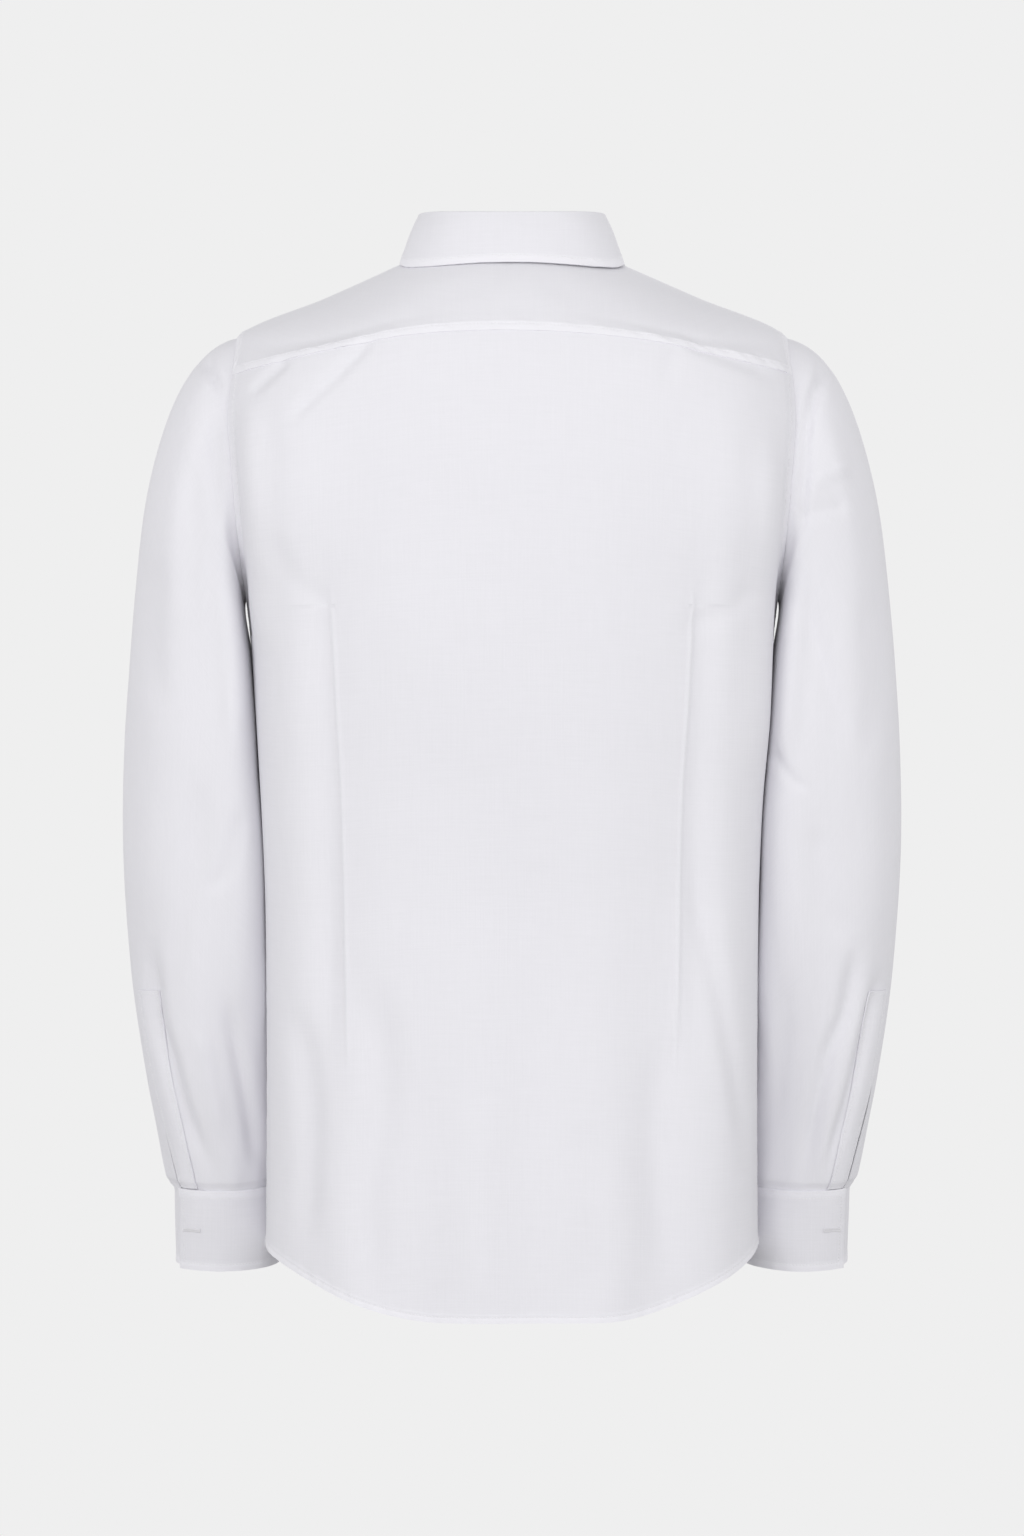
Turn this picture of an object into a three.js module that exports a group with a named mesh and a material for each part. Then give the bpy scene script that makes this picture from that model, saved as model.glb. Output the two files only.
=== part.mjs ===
// Long sleeve dress shirt, filled out as it hangs on its wearer.
// Millimetres, +Z up. The front faces -Y and +X is the wearer's left. The origin is in the
// middle of the neck, level with the tops of the shoulders.
import * as THREE from 'three';

const RAD = Math.PI / 180;

// Driving sizes
const WALL = 1.5;              // thickness of one layer of cloth
const SEAM = 0.3;              // clear line between two pieces at a seam
const TRIM_WALL = 1.2;         // thickness of a strip that lies on a panel
const LAYER_CLEAR = 0.6;       // clear space between two overlapping fronts
const STAND_CLEAR = 0.7;       // clear height between the neck edge and the collar stand
const SIDE = 90 * RAD;         // turn of the side line, measured round from centre back
const FRONT = 180 * RAD;       // turn of centre front
const CHEST_REACH = 125;       // how far the cloth is from the middle, to turn sizes into turns
const SEAM_TURN = SEAM / 2 / CHEST_REACH;
const SMALL_TURN = 0.004;      // steps that slopes of the surface are measured over
const SMALL_DOWN = 0.5;
const HALVINGS = 40;           // halvings of a span in the search for one place
const JOINED = 0.001;          // ends of a row that are this near are one point

// A table of sizes: the names of its columns, then its rows.
function table(columns, rows) {
  return rows.map((row) => Object.fromEntries(columns.map((name, i) => [name, row[i]])));
}

// Rings of the body from the neck to the hem. `down` counts along the cloth from the neck, and
// `sag` is how far the ring drops between its side and its middle.
const BODY = table(
  ['down', 'zBack', 'zSide', 'zFront', 'sag', 'half', 'back', 'front', 'square'],
  [
    [0, 1, 3, -78, 0, 68, 60, 74, 2.1],                       // neck
    [45, -20, -26, -88, 6, 134, 85, 88, 2.15],                // slope
    [90, -41, -55.5, -100, 13, 200, 101, 100, 2.2],           // shoulder
    [130, -58, -88, -122, 3, 215, 111, 114, 2.3],             // yoke
    [170, -100, -125, -155, 0, 222, 119, 127, 2.4],           // blade
    [215, -160, -170, -190, 0, 222, 123, 135, 2.45],          // armhole
    [300, -250, -250, -252, 0, 193, 121, 137, 2.45],          // underarm
    [370, -320, -320, -320, 0, 187, 115, 136, 2.45],          // chest
    [445, -395, -395, -395, 0, 182.3, 105, 130, 2.4],         // ribs
    [530, -480, -480, -480, 0, 179.5, 98, 124, 2.4],          // waist
    [640, -590, -590, -590, 0, 178.2, 103, 126, 2.35],        // hip
    [740, -690, -690, -690, 0, 178.6, 110, 129, 2.35],        // tail
    [830, -780, -780, -780, 0, 179.5, 113, 131, 2.35],        // hem
  ],
);
const STRAIGHT_DROP = 50;      // below the underarm, down is this much more than the drop

// The armhole: how far out from the middle its seam lies at each ring.
const ARMHOLE_SEAM = table(
  ['down', 'out'],
  [[60, 199], [90, 200], [122, 201.5], [165, 204], [215, 200], [260, 196.3], [300, 193], [340, 190]],
);
const ARMHOLE_WIDEST = 165;    // the down at which its seam is farthest from the middle
const ARMHOLE_STEPS = 28;      // points round each armhole, from the shoulder round the back
const YOKE_BACK_STEP = 4;      // where the yoke's back seam meets the armhole
const YOKE_FRONT_STEP = 3;     // where its front seam does
const YOKE_NECK_TURN = 106 * RAD;
const YOKE_BACK_SHARE = 0.6;   // how much of its neck edge fans out to its back seam

// The curved hem: straight over the middle, then rising to the side seams.
const HEM = { ring: 740, side: -716, back: -763.5, front: -752, straight: 0.43, bend: 1.5 };

// Waist darts of the back, as one sunk column each.
const DART = { column: 0.42, top: 250, bottom: 650, depth: 1.5 };

const BACK_HALF_COLUMNS = [0, 0.14, 0.28, 0.385, DART.column, 0.455, 0.6, 0.75, 0.89, 1];
const FRONT_COLUMNS = [0, 0.12, 0.26, 0.42, 0.58, 0.74, 0.88, 1];
const YOKE_ROWS = 4;           // also the rows of the fronts beside the yoke
const LOWER_ROWS = 13;

// The overlapping strips at the front, as distances from the middle towards each side.
const PLACKET_COLUMNS = [16, 5, -5, -16];
const PLACKET_TOP = 1.5;       // how far below the neck edge the placket starts
const UNDERLAP_COLUMNS = [18, 6, -6, -16];

const STAND = { zBack: 27, zSide: 30, zFront: -50, sag: 0, half: 65.5, back: 57, front: 66, square: 2.45 };
const STAND_ENDS = { over: 12, under: 14, ramp: 22 };
const STAND_COLUMNS = 34;
const COLLAR_WALL = 1.6;
// The roll from the stand's top edge over to the outside: outward and up from that edge.
const COLLAR_ROLL = table(
  ['out', 'up'],
  [[-0.75, 1.2], [-0.6, 2.6], [0.9, 4], [2.6, 3.6], [3.4, 2]],
);
// The fall's outer edge, from centre back to the collar point, as places on the body.
const COLLAR_EDGE = table(
  ['at', 'turn', 'down', 'off'],
  [
    [0, 0, 20, 3.4],
    [0.3, 50, 17, 3.4],
    [0.5, 88, 8, 3.2],
    [0.7, 120, 21, 4],
    [0.86, 146, 32, 4.8],
    [0.94, 158.5, 58, 5],
    [1, 167.5, 104, 5],
  ],
);
const COLLAR_ROWS = 5;
const COLLAR_COLUMNS = 32;
const COLLAR_GAP_TURN = 4.5;   // degrees from centre front to the fall's front edge at the top

// Rings of the sleeve below the armhole. `out` and `fore` place the middle, `tipOut` and
// `tipFore` are the slopes of the ring's plane, and `twist` turns the cloth round the arm.
const ARM = table(
  ['drop', 'out', 'fore', 'width', 'depth', 'tipOut', 'tipFore', 'twist', 'full'],
  [
    [290, 234.7, -12, 44.8, 66, 0, 0, 0, 0.08],               // bicep
    [350, 234.8, -14, 49, 62, 0, -0.05, 0, 0.12],             // upper
    [430, 233.4, -20, 51.6, 56, 0, -0.1, 0, 0.13],            // elbow
    [510, 229.8, -31, 50.7, 51, -0.05, -0.12, 0, 0.12],       // forearm
    [590, 223.1, -45, 46.9, 47, -0.1, -0.12, 5, 0.08],        // lower
    [645, 216.3, -56.5, 43.7, 45, -0.08, -0.12, 10, 0.02],    // wrist
    [675, 213, -60.5, 41.2, 42.2, -0.01, -0.12, 12.86, 0],    // cuff seam
  ],
);
const CAP = {                  // how the sleeve leaves the armhole, over the top and underneath
  top: { out: 186, down: 42, end: 230 },
  under: { out: 12, down: 14, end: 42 },
  swell: 22,
  rows: 9,
};
const ARM_DROPS = [318, 346, 376, 408, 440, 470, 500, 530, 560, 590, 618, 645];
const SLIT = { step: 2, top: 560, opens: 60, gap: 1.6 };

// Soft valleys pressed into each sleeve, from one end to the other.
const FOLD_COLUMNS = ['turn', 'drop', 'turnEnd', 'dropEnd', 'width', 'depth'];
const FOLDS_LEFT = table(FOLD_COLUMNS, [[38, 520, 78, 665, 13, 3], [122, 575, 124, 668, 12, 3]]);
const FOLDS_RIGHT = table(FOLD_COLUMNS, [[68, 520, 86, 668, 12, 2.5], [40, 520, 63, 668, 12, 3]]);
const FOLD_FADE = 30;          // length over which a fold dies away past its ends
const FOLD_ENDS = 0.12;        // share of a fold's wave that is left off at each end

// The cuff's turns are in degrees. Its free end stands off and its other end is tucked under.
const CUFF = {
  height: 60,
  out: 212.6,
  fore: -61,
  tipOut: -0.01,
  tipFore: -0.12,
  width: 40.4,
  depth: 41.4,
  taper: 0.6,
  freeTurn: 38.6,
  underTurn: 440,
  standOff: 1.5,
  standOffEnd: 80,
  tuck: 4.6,
  tuckStart: 300,
  tuckEnd: 396,
  columns: 30,
  rows: 3,
};
const SLEEVE_PLACKET = { columns: 2, top: 530 };

const BUTTON = { radius: 5.5, thick: 2.2, hole: 0.9, holeReach: 2.4, sides: 14, clear: 0.7 };
const FRONT_BUTTONS = { first: 160, spacing: 88, count: 6 };
const CUFF_BUTTON = { turn: 58, along: 30 };

// Colours
const WHITE_COTTON = { color: 0xf3f2f6, roughness: 0.9, metalness: 0 };
const RESIN = { color: 0xecebe6, roughness: 0.35, metalness: 0 };

const shirt = new THREE.Group();
shirt.name = 'long_sleeve_dress_shirt';

function material(look) {
  return new THREE.MeshStandardMaterial(look);
}

function mix(a, b, t) {
  return a + (b - a) * t;
}

function smooth(from, to, value) {
  const t = THREE.MathUtils.clamp((value - from) / (to - from), 0, 1);
  return t * t * (3 - 2 * t);
}

// Slope of a table's column at one row, kept low enough that the curve stays between its rows.
function slope(rows, axis, key, i) {
  const rise = (a, b) => (b[key] - a[key]) / (b[axis] - a[axis]);
  if (i === 0) return rise(rows[0], rows[1]);
  if (i === rows.length - 1) return rise(rows[i - 1], rows[i]);
  const before = rise(rows[i - 1], rows[i]);
  const after = rise(rows[i], rows[i + 1]);
  return before * after <= 0 ? 0 : (2 * before * after) / (before + after);
}

// A smooth curve through one column of a table.
function curve(rows, axis, key, at) {
  let i = 1;
  while (i < rows.length - 1 && rows[i][axis] < at) i += 1;
  const a = rows[i - 1];
  const b = rows[i];
  const h = b[axis] - a[axis];
  const t = (at - a[axis]) / h;
  const t2 = t * t;
  const t3 = t2 * t;
  return a[key] * (2 * t3 - 3 * t2 + 1) + slope(rows, axis, key, i - 1) * h * (t3 - 2 * t2 + t)
    + b[key] * (3 * t2 - 2 * t3) + slope(rows, axis, key, i) * h * (t3 - t2);
}

// One point of a ring whose back and front have their own depth and height.
function ringPoint(ring, turn) {
  const s = Math.sin(turn);
  const c = Math.cos(turn);
  const bend = 2 / ring.square;
  const deep = c >= 0 ? ring.back : -ring.front;
  const low = c >= 0 ? ring.zBack : ring.zFront;
  return new THREE.Vector3(
    Math.sign(s) * ring.half * Math.abs(s) ** bend,
    deep * Math.abs(c) ** bend,
    ring.zSide * s * s + low * c * c - 4 * ring.sag * s * s * c * c,
  );
}

function bodyRing(down) {
  const ring = {};
  for (const key of ['zBack', 'zSide', 'zFront', 'sag', 'half', 'back', 'front', 'square']) {
    ring[key] = curve(BODY, 'down', key, down);
  }
  return ring;
}

function bodyPoint(turn, down) {
  return ringPoint(bodyRing(down), turn);
}

function bodyNormal(turn, down) {
  const round = bodyPoint(turn + SMALL_TURN, down).sub(bodyPoint(turn - SMALL_TURN, down));
  const fall = bodyPoint(turn, down + SMALL_DOWN).sub(bodyPoint(turn, down - SMALL_DOWN));
  return round.cross(fall).normalize();
}

// The turn, on the front or the back, where the body is `out` from the middle.
function turnAt(out, down, front) {
  const ring = bodyRing(down);
  const share = Math.min(Math.abs(out) / ring.half, 1) ** (ring.square / 2);
  const turn = Math.asin(share) * (out < 0 ? -1 : 1);
  return front ? FRONT - turn : turn;
}

// The armhole as turns and downs: over the shoulder, down the back, round and up the front.
function armholeLoop(shift) {
  const reach = (down) => curve(BODY, 'down', 'half', down) - seamOut(down, shift);
  const top = crossing(reach, ARMHOLE_SEAM[0].down, ARMHOLE_WIDEST);
  const bottom = crossing(reach, ARMHOLE_SEAM[ARMHOLE_SEAM.length - 1].down, ARMHOLE_WIDEST);
  const loop = [];
  for (let step = 0; step <= ARMHOLE_STEPS; step += 1) {
    const down = mix(top, bottom, (1 - Math.cos((2 * Math.PI * step) / ARMHOLE_STEPS)) / 2);
    const turn = turnAt(seamOut(down, shift), down, step > ARMHOLE_STEPS / 2);
    loop.push({ turn, down });
  }
  return loop;
}

// How far out the armhole's edge is, moved away from the middle by the shift.
function seamOut(down, shift) {
  return curve(ARMHOLE_SEAM, 'down', 'out', down) + shift;
}

// Where a rising function passes zero between two places.
function crossing(value, outside, inside) {
  let a = outside;
  let b = inside;
  for (let halving = 0; halving < HALVINGS; halving += 1) {
    const middle = (a + b) / 2;
    if (value(middle) > 0) b = middle;
    else a = middle;
  }
  return (a + b) / 2;
}

// The down at which the hem crosses one turn.
function hemDown(turn) {
  const ring = bodyRing(HEM.ring);
  const out = Math.abs(ringPoint(ring, turn).x) / ring.half;
  const low = Math.cos(turn) >= 0 ? HEM.back : HEM.front;
  const rise = Math.max((out - HEM.straight) / (1 - HEM.straight), 0) ** HEM.bend;
  return STRAIGHT_DROP - mix(low, HEM.side, rise);
}

// Rows of places in even steps from one line of { turn, down } places to another.
function between(top, bottom, rows) {
  return Array.from({ length: rows + 1 }, (_, j) => top.map((place, i) => ({
    turn: mix(place.turn, bottom[i].turn, j / rows),
    down: mix(place.down, bottom[i].down, j / rows),
  })));
}

// Both faces of a layer of cloth that lies `lift` off the body at each place.
function bodyLayer(places, lift, thick) {
  const face = (extra) => places.map((row) => row.map((place) => {
    const off = lift(place) + extra;
    return bodyPoint(place.turn, place.down).addScaledVector(bodyNormal(place.turn, place.down), off);
  }));
  return { outer: face(0), inner: face(-thick) };
}

// The outward direction at each point of a grid of points.
function gridNormals(grid) {
  return grid.map((row, j) => row.map((_, i) => {
    const last = row.length - 1;
    const wrap = isJoined(row) && (i === 0 || i === last);
    const before = wrap ? row[last - 1] : row[Math.max(i - 1, 0)];
    const after = wrap ? row[1] : row[Math.min(i + 1, last)];
    const rowAt = (k) => grid[Math.min(Math.max(k, 0), grid.length - 1)];
    const at = (r) => (wrap ? r[0].clone().lerp(r[last], 0.5) : r[i].clone());
    return after.clone().sub(before).cross(at(rowAt(j + 1)).sub(at(rowAt(j - 1)))).normalize();
  }));
}

// Both faces of a layer worked out from a grid of points.
function gridLayer(grid, lift, thick) {
  const normals = gridNormals(grid);
  const face = (off) => grid.map((row, j) => row.map((point, i) => (
    point.clone().addScaledVector(normals[j][i], off)
  )));
  return { outer: face(lift), inner: face(lift - thick) };
}

function isJoined(row) {
  return row[0].distanceTo(row[row.length - 1]) < JOINED;
}

// A closed wall between two faces. Rows run down the cloth and columns run with the turn.
function wallGeometry({ outer, inner }) {
  const positions = [];
  const add = (...points) => {
    for (const k of [0, 1, 2, 0, 2, 3]) positions.push(...points[k].toArray());
  };
  const rows = outer.length - 1;
  const columns = outer[0].length - 1;
  const joined = outer.map(isJoined);
  for (let j = 0; j < rows; j += 1) {
    for (let i = 0; i < columns; i += 1) {
      add(outer[j][i], outer[j][i + 1], outer[j + 1][i + 1], outer[j + 1][i]);
      add(inner[j][i], inner[j + 1][i], inner[j + 1][i + 1], inner[j][i + 1]);
    }
    if (!(joined[j] && joined[j + 1])) {
      add(outer[j][0], outer[j + 1][0], inner[j + 1][0], inner[j][0]);
      add(outer[j + 1][columns], outer[j][columns], inner[j][columns], inner[j + 1][columns]);
    }
  }
  for (let i = 0; i < columns; i += 1) {
    add(outer[0][i + 1], outer[0][i], inner[0][i], inner[0][i + 1]);
    add(outer[rows][i], outer[rows][i + 1], inner[rows][i + 1], inner[rows][i]);
  }
  const geometry = new THREE.BufferGeometry();
  geometry.setAttribute('position', new THREE.Float32BufferAttribute(positions, 3));
  geometry.computeVertexNormals();
  return geometry;
}

// The same faces on the wearer's right.
function mirrored({ outer, inner }) {
  const flip = (face) => face.map((row) => row.map((p) => new THREE.Vector3(-p.x, p.y, p.z)).reverse());
  return { outer: flip(outer), inner: flip(inner) };
}

function addCloth(name, faces) {
  const mesh = new THREE.Mesh(wallGeometry(faces), material(WHITE_COTTON));
  mesh.name = name;
  shirt.add(mesh);
}

const flush = () => 0;
const bodyEdge = armholeLoop(-SEAM / 2);
const lowerShares = Array.from({ length: LOWER_ROWS }, (_, k) => (k + 1) / LOWER_ROWS);

// How far `down` moves for half a seam's width of cloth at a place.
function halfSeamDown(turn, down) {
  const above = bodyPoint(turn, down - SMALL_DOWN);
  return (SEAM * SMALL_DOWN) / bodyPoint(turn, down + SMALL_DOWN).distanceTo(above);
}

const backColumns = [...BACK_HALF_COLUMNS.slice(1).map((c) => -c).reverse(), ...BACK_HALF_COLUMNS];
const yokeDown = bodyEdge[YOKE_BACK_STEP].down;

// A line across the back, between the armholes or the side seams.
function backLine(down, side) {
  return backColumns.map((c) => ({ turn: c * side, down, column: Math.abs(c) }));
}

function addBack() {
  const places = [];
  const topDown = yokeDown + halfSeamDown(0, yokeDown);
  places.push(backLine(topDown, turnAt(seamOut(topDown, -SEAM / 2), topDown, false)));
  for (let step = YOKE_BACK_STEP + 1; step <= ARMHOLE_STEPS / 2; step += 1) {
    places.push(backLine(bodyEdge[step].down, bodyEdge[step].turn));
  }
  const start = bodyEdge[ARMHOLE_STEPS / 2].down;
  for (const share of lowerShares) {
    places.push(backColumns.map((c) => {
      const turn = c * (SIDE - SEAM_TURN);
      return { turn, down: mix(start, hemDown(turn), share), column: Math.abs(c) };
    }));
  }
  const dartLift = ({ column, down }) => {
    if (column !== DART.column || down < DART.top || down > DART.bottom) return 0;
    return -DART.depth * Math.sin((Math.PI * (down - DART.top)) / (DART.bottom - DART.top));
  };
  addCloth('back', bodyLayer(places, dartLift, WALL));
}

function addYoke() {
  const bottomDown = yokeDown - halfSeamDown(0, yokeDown);
  const side = turnAt(seamOut(bottomDown, -SEAM / 2), bottomDown, false);
  const left = [];
  for (let step = YOKE_BACK_STEP - 1; step > -YOKE_FRONT_STEP; step -= 1) {
    left.push(bodyEdge[(step + ARMHOLE_STEPS) % ARMHOLE_STEPS]);
  }
  const corner = bodyEdge[ARMHOLE_STEPS - YOKE_FRONT_STEP];
  left.push({ turn: corner.turn - SEAM_TURN, down: corner.down - SEAM / 2 });
  const right = left.map(({ turn, down }) => ({ turn: -turn, down })).reverse();
  const outerEdge = [...right, ...backLine(bottomDown, side), ...left];
  const neckSpan = YOKE_NECK_TURN - SEAM / 2 / STAND.half;
  const share = (i) => {
    const back = backColumns.length - 1;
    const before = right.length;
    if (i < before) return -mix(1, YOKE_BACK_SHARE, i / before);
    if (i > before + back) return mix(YOKE_BACK_SHARE, 1, (i - before - back) / before);
    return YOKE_BACK_SHARE * backColumns[i - before];
  };
  const neck = outerEdge.map((_, i) => ({ turn: share(i) * neckSpan, down: 0 }));
  addCloth('yoke', bodyLayer(between(neck, outerEdge, YOKE_ROWS), flush, WALL));
}

// Places of one front, from the shoulder, armhole and side seams to past the middle.
function frontPlaces(edgeColumns) {
  const side = SIDE + SEAM_TURN;
  const corner = bodyEdge[ARMHOLE_STEPS - YOKE_FRONT_STEP];
  const neckStart = YOKE_NECK_TURN + SEAM / 2 / STAND.half;
  const line = (start, down) => {
    const end = turnAt(edgeColumns[0], down, true);
    const row = FRONT_COLUMNS.map((c) => ({ turn: mix(start, end, c), down }));
    return [...row, ...edgeColumns.slice(1).map((out) => ({ turn: turnAt(out, down, true), down }))];
  };
  const places = [];
  for (let j = 0; j <= YOKE_ROWS; j += 1) {
    const t = j / YOKE_ROWS;
    places.push(line(mix(neckStart, corner.turn + SEAM_TURN, t), corner.down * t));
  }
  for (let step = ARMHOLE_STEPS - YOKE_FRONT_STEP - 1; step > ARMHOLE_STEPS / 2; step -= 1) {
    places.push(line(bodyEdge[step].turn, bodyEdge[step].down));
  }
  const bottomDown = bodyEdge[ARMHOLE_STEPS / 2].down;
  places.push(line(side, bottomDown));
  for (const share of lowerShares) {
    places.push(line(side, bottomDown).map(({ turn }) => ({
      turn, down: mix(bottomDown, hemDown(turn), share),
    })));
  }
  return places;
}

function addFronts() {
  const over = frontPlaces(PLACKET_COLUMNS);
  addCloth('front_left', bodyLayer(over, flush, WALL));
  const under = frontPlaces(UNDERLAP_COLUMNS);
  const tucked = under[0].length - UNDERLAP_COLUMNS.length;
  const marked = under.map((row) => row.map((place, i) => ({ ...place, tucked: i >= tucked })));
  const tuckLift = (place) => (place.tucked ? -(WALL + LAYER_CLEAR) : 0);
  addCloth('front_right', mirrored(bodyLayer(marked, tuckLift, WALL)));
  const strip = over.map((row) => row.slice(-PLACKET_COLUMNS.length));
  strip[0] = strip[0].map(({ turn }) => ({ turn, down: PLACKET_TOP }));
  addCloth('placket', bodyLayer(strip, () => SEAM + TRIM_WALL, TRIM_WALL));
}

// The stand's face, from its top edge down to the neck seam.
function standPoint(turn, share) {
  const top = ringPoint(STAND, turn);
  const seam = bodyPoint(turn, 0);
  seam.z += STAND_CLEAR;
  return top.lerp(seam, share);
}

// The level direction straight out of a closed line.
function ringOut(point, turn) {
  const ahead = point(turn + SMALL_TURN);
  const behind = point(turn - SMALL_TURN);
  return new THREE.Vector3(0, 0, 1).cross(ahead.sub(behind).setZ(0)).normalize();
}

function addCollarStand() {
  const ring = bodyRing(0);
  const endTurn = (out) => Math.asin((out / ring.half) ** (ring.square / 2));
  const first = -FRONT - endTurn(STAND_ENDS.under);
  const last = FRONT + endTurn(STAND_ENDS.over);
  const tuckFull = -FRONT + endTurn(STAND_ENDS.under);
  const tuckNone = -FRONT + endTurn(STAND_ENDS.over + STAND_ENDS.ramp);
  const rows = [0, 0.5, 1];
  const faces = { outer: [], inner: [] };
  for (const share of rows) {
    const at = (t) => standPoint(t, share);
    const line = Array.from({ length: STAND_COLUMNS + 1 }, (_, i) => mix(first, last, i / STAND_COLUMNS));
    const face = (off) => line.map((turn) => {
      const tuck = (WALL + LAYER_CLEAR) * (1 - smooth(tuckFull, tuckNone, turn));
      return at(turn).addScaledVector(ringOut(at, turn), off - tuck);
    });
    faces.outer.push(face(0));
    faces.inner.push(face(-WALL));
  }
  addCloth('collar_stand', faces);
}

// The collar from its roll at the top of the stand to its outer edge.
function collarGrid() {
  const foldSpan = FRONT - COLLAR_GAP_TURN * RAD;
  const grid = [...COLLAR_ROLL, ...Array(COLLAR_ROWS)].map(() => []);
  for (let i = 0; i <= COLLAR_COLUMNS; i += 1) {
    const at = mix(-1, 1, i / COLLAR_COLUMNS);
    const turn = at * foldSpan;
    const top = (t) => standPoint(t, 0);
    const out = ringOut(top, turn);
    const roll = COLLAR_ROLL.map((r) => top(turn).addScaledVector(out, r.out).setZ(top(turn).z + r.up));
    const edgeTurn = Math.sign(at) * curve(COLLAR_EDGE, 'at', 'turn', Math.abs(at)) * RAD;
    const edgeDown = curve(COLLAR_EDGE, 'at', 'down', Math.abs(at));
    const off = curve(COLLAR_EDGE, 'at', 'off', Math.abs(at));
    const edge = bodyPoint(edgeTurn, edgeDown).addScaledVector(bodyNormal(edgeTurn, edgeDown), off);
    roll.forEach((point, j) => grid[j].push(point));
    const start = roll[roll.length - 1];
    for (let j = 1; j <= COLLAR_ROWS; j += 1) {
      grid[roll.length + j - 1].push(start.clone().lerp(edge, j / COLLAR_ROWS));
    }
  }
  return grid;
}

// A point of the left sleeve below the armhole.
function armPoint(turn, drop) {
  const ring = {};
  for (const key of ['out', 'fore', 'width', 'depth', 'tipOut', 'tipFore', 'twist', 'full']) {
    ring[key] = curve(ARM, 'drop', key, drop);
  }
  const across = new THREE.Vector3(1, 0, ring.tipOut).normalize();
  const rear = new THREE.Vector3(0, 1, ring.tipFore).normalize();
  const angle = turn + ring.twist * RAD;
  // The side towards the body hangs against it, so its corners are fuller than an ellipse's.
  const size = 1 + (Math.cos(angle) < 0 ? ring.full * Math.sin(2 * angle) ** 2 : 0);
  return new THREE.Vector3(ring.out, ring.fore, -drop)
    .addScaledVector(across, size * ring.width * Math.cos(angle))
    .addScaledVector(rear, size * ring.depth * Math.sin(angle));
}

// A point of the sleeve's head, from the armhole's edge at share 0 to the first arm ring.
function capPoint(edge, turn, share) {
  const over = (1 + Math.cos(turn)) / 2;
  const start = bodyPoint(edge.turn, edge.down);
  const leave = new THREE.Vector3(
    mix(CAP.under.out, CAP.top.out, over),
    CAP.swell * Math.sin(turn),
    -mix(CAP.under.down, CAP.top.down, over),
  );
  const end = armPoint(turn, ARM[0].drop);
  const arrive = armPoint(turn, ARM[0].drop + 1).sub(end);
  arrive.multiplyScalar(mix(CAP.under.end, CAP.top.end, over));
  const s2 = share * share;
  const s3 = s2 * share;
  return start.multiplyScalar(2 * s3 - 3 * s2 + 1)
    .addScaledVector(leave, s3 - 2 * s2 + share)
    .addScaledVector(end, 3 * s2 - 2 * s3)
    .addScaledVector(arrive, s3 - s2);
}

// How deep a sleeve's pressed folds are at one place.
function foldDepth(folds, turn, drop) {
  let depth = 0;
  for (const fold of folds) {
    const t = THREE.MathUtils.clamp((drop - fold.drop) / (fold.dropEnd - fold.drop), 0, 1);
    const reach = curve(ARM, 'drop', 'depth', drop);
    const beside = (turn - mix(fold.turn, fold.turnEnd, t) * RAD) * reach;
    const beyond = drop - mix(fold.drop, fold.dropEnd, t);
    const far = (beside / fold.width) ** 2 + (beyond / FOLD_FADE) ** 2;
    depth += fold.depth * Math.sin(Math.PI * mix(FOLD_ENDS, 1 - FOLD_ENDS, t)) * Math.exp(-far);
  }
  return depth;
}

function sleeveGrid(folds) {
  const edge = armholeLoop(SEAM);
  const stepTurn = (2 * Math.PI) / ARMHOLE_STEPS;
  const columns = Array.from({ length: ARMHOLE_STEPS + 1 }, (_, i) => i + SLIT.step);
  const grid = [];
  for (let j = 0; j < CAP.rows; j += 1) {
    grid.push(columns.map((c) => capPoint(edge[c % ARMHOLE_STEPS], c * stepTurn, j / CAP.rows)));
  }
  const seamDrop = ARM[ARM.length - 1].drop - 2 * SEAM;
  for (const drop of [ARM[0].drop, ...ARM_DROPS, seamDrop]) {
    const open = (SLIT.gap / 2 / CUFF.depth) * smooth(SLIT.top, SLIT.top + SLIT.opens, drop);
    grid.push(columns.map((c, i) => {
      const shift = (i === 0 ? open : 0) - (i === ARMHOLE_STEPS ? open : 0);
      const turn = c * stepTurn + shift;
      const middle = armPoint(turn, drop).sub(armPoint(turn + Math.PI, drop)).normalize();
      const depth = foldDepth(folds, (c % ARMHOLE_STEPS) * stepTurn, drop);
      return armPoint(turn, drop).addScaledVector(middle, -depth);
    }));
  }
  return grid;
}

// The sleeve's turn runs the other way round than the body's, so its columns are reversed.
function addSleeve(side, folds) {
  const grid = sleeveGrid(folds).map((row) => row.reverse());
  const place = (faces) => (side === 'right' ? mirrored(faces) : faces);
  addCloth(`sleeve_${side}`, place(gridLayer(grid, 0, WALL)));
  const firstRow = CAP.rows + 1 + ARM_DROPS.indexOf(SLEEVE_PLACKET.top);
  const strip = gridLayer(grid, SEAM + TRIM_WALL, TRIM_WALL);
  const cut = (face) => face.slice(firstRow).map((row) => row.slice(-SLEEVE_PLACKET.columns - 1));
  addCloth(`sleeve_placket_${side}`, place({ outer: cut(strip.outer), inner: cut(strip.inner) }));
}

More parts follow.
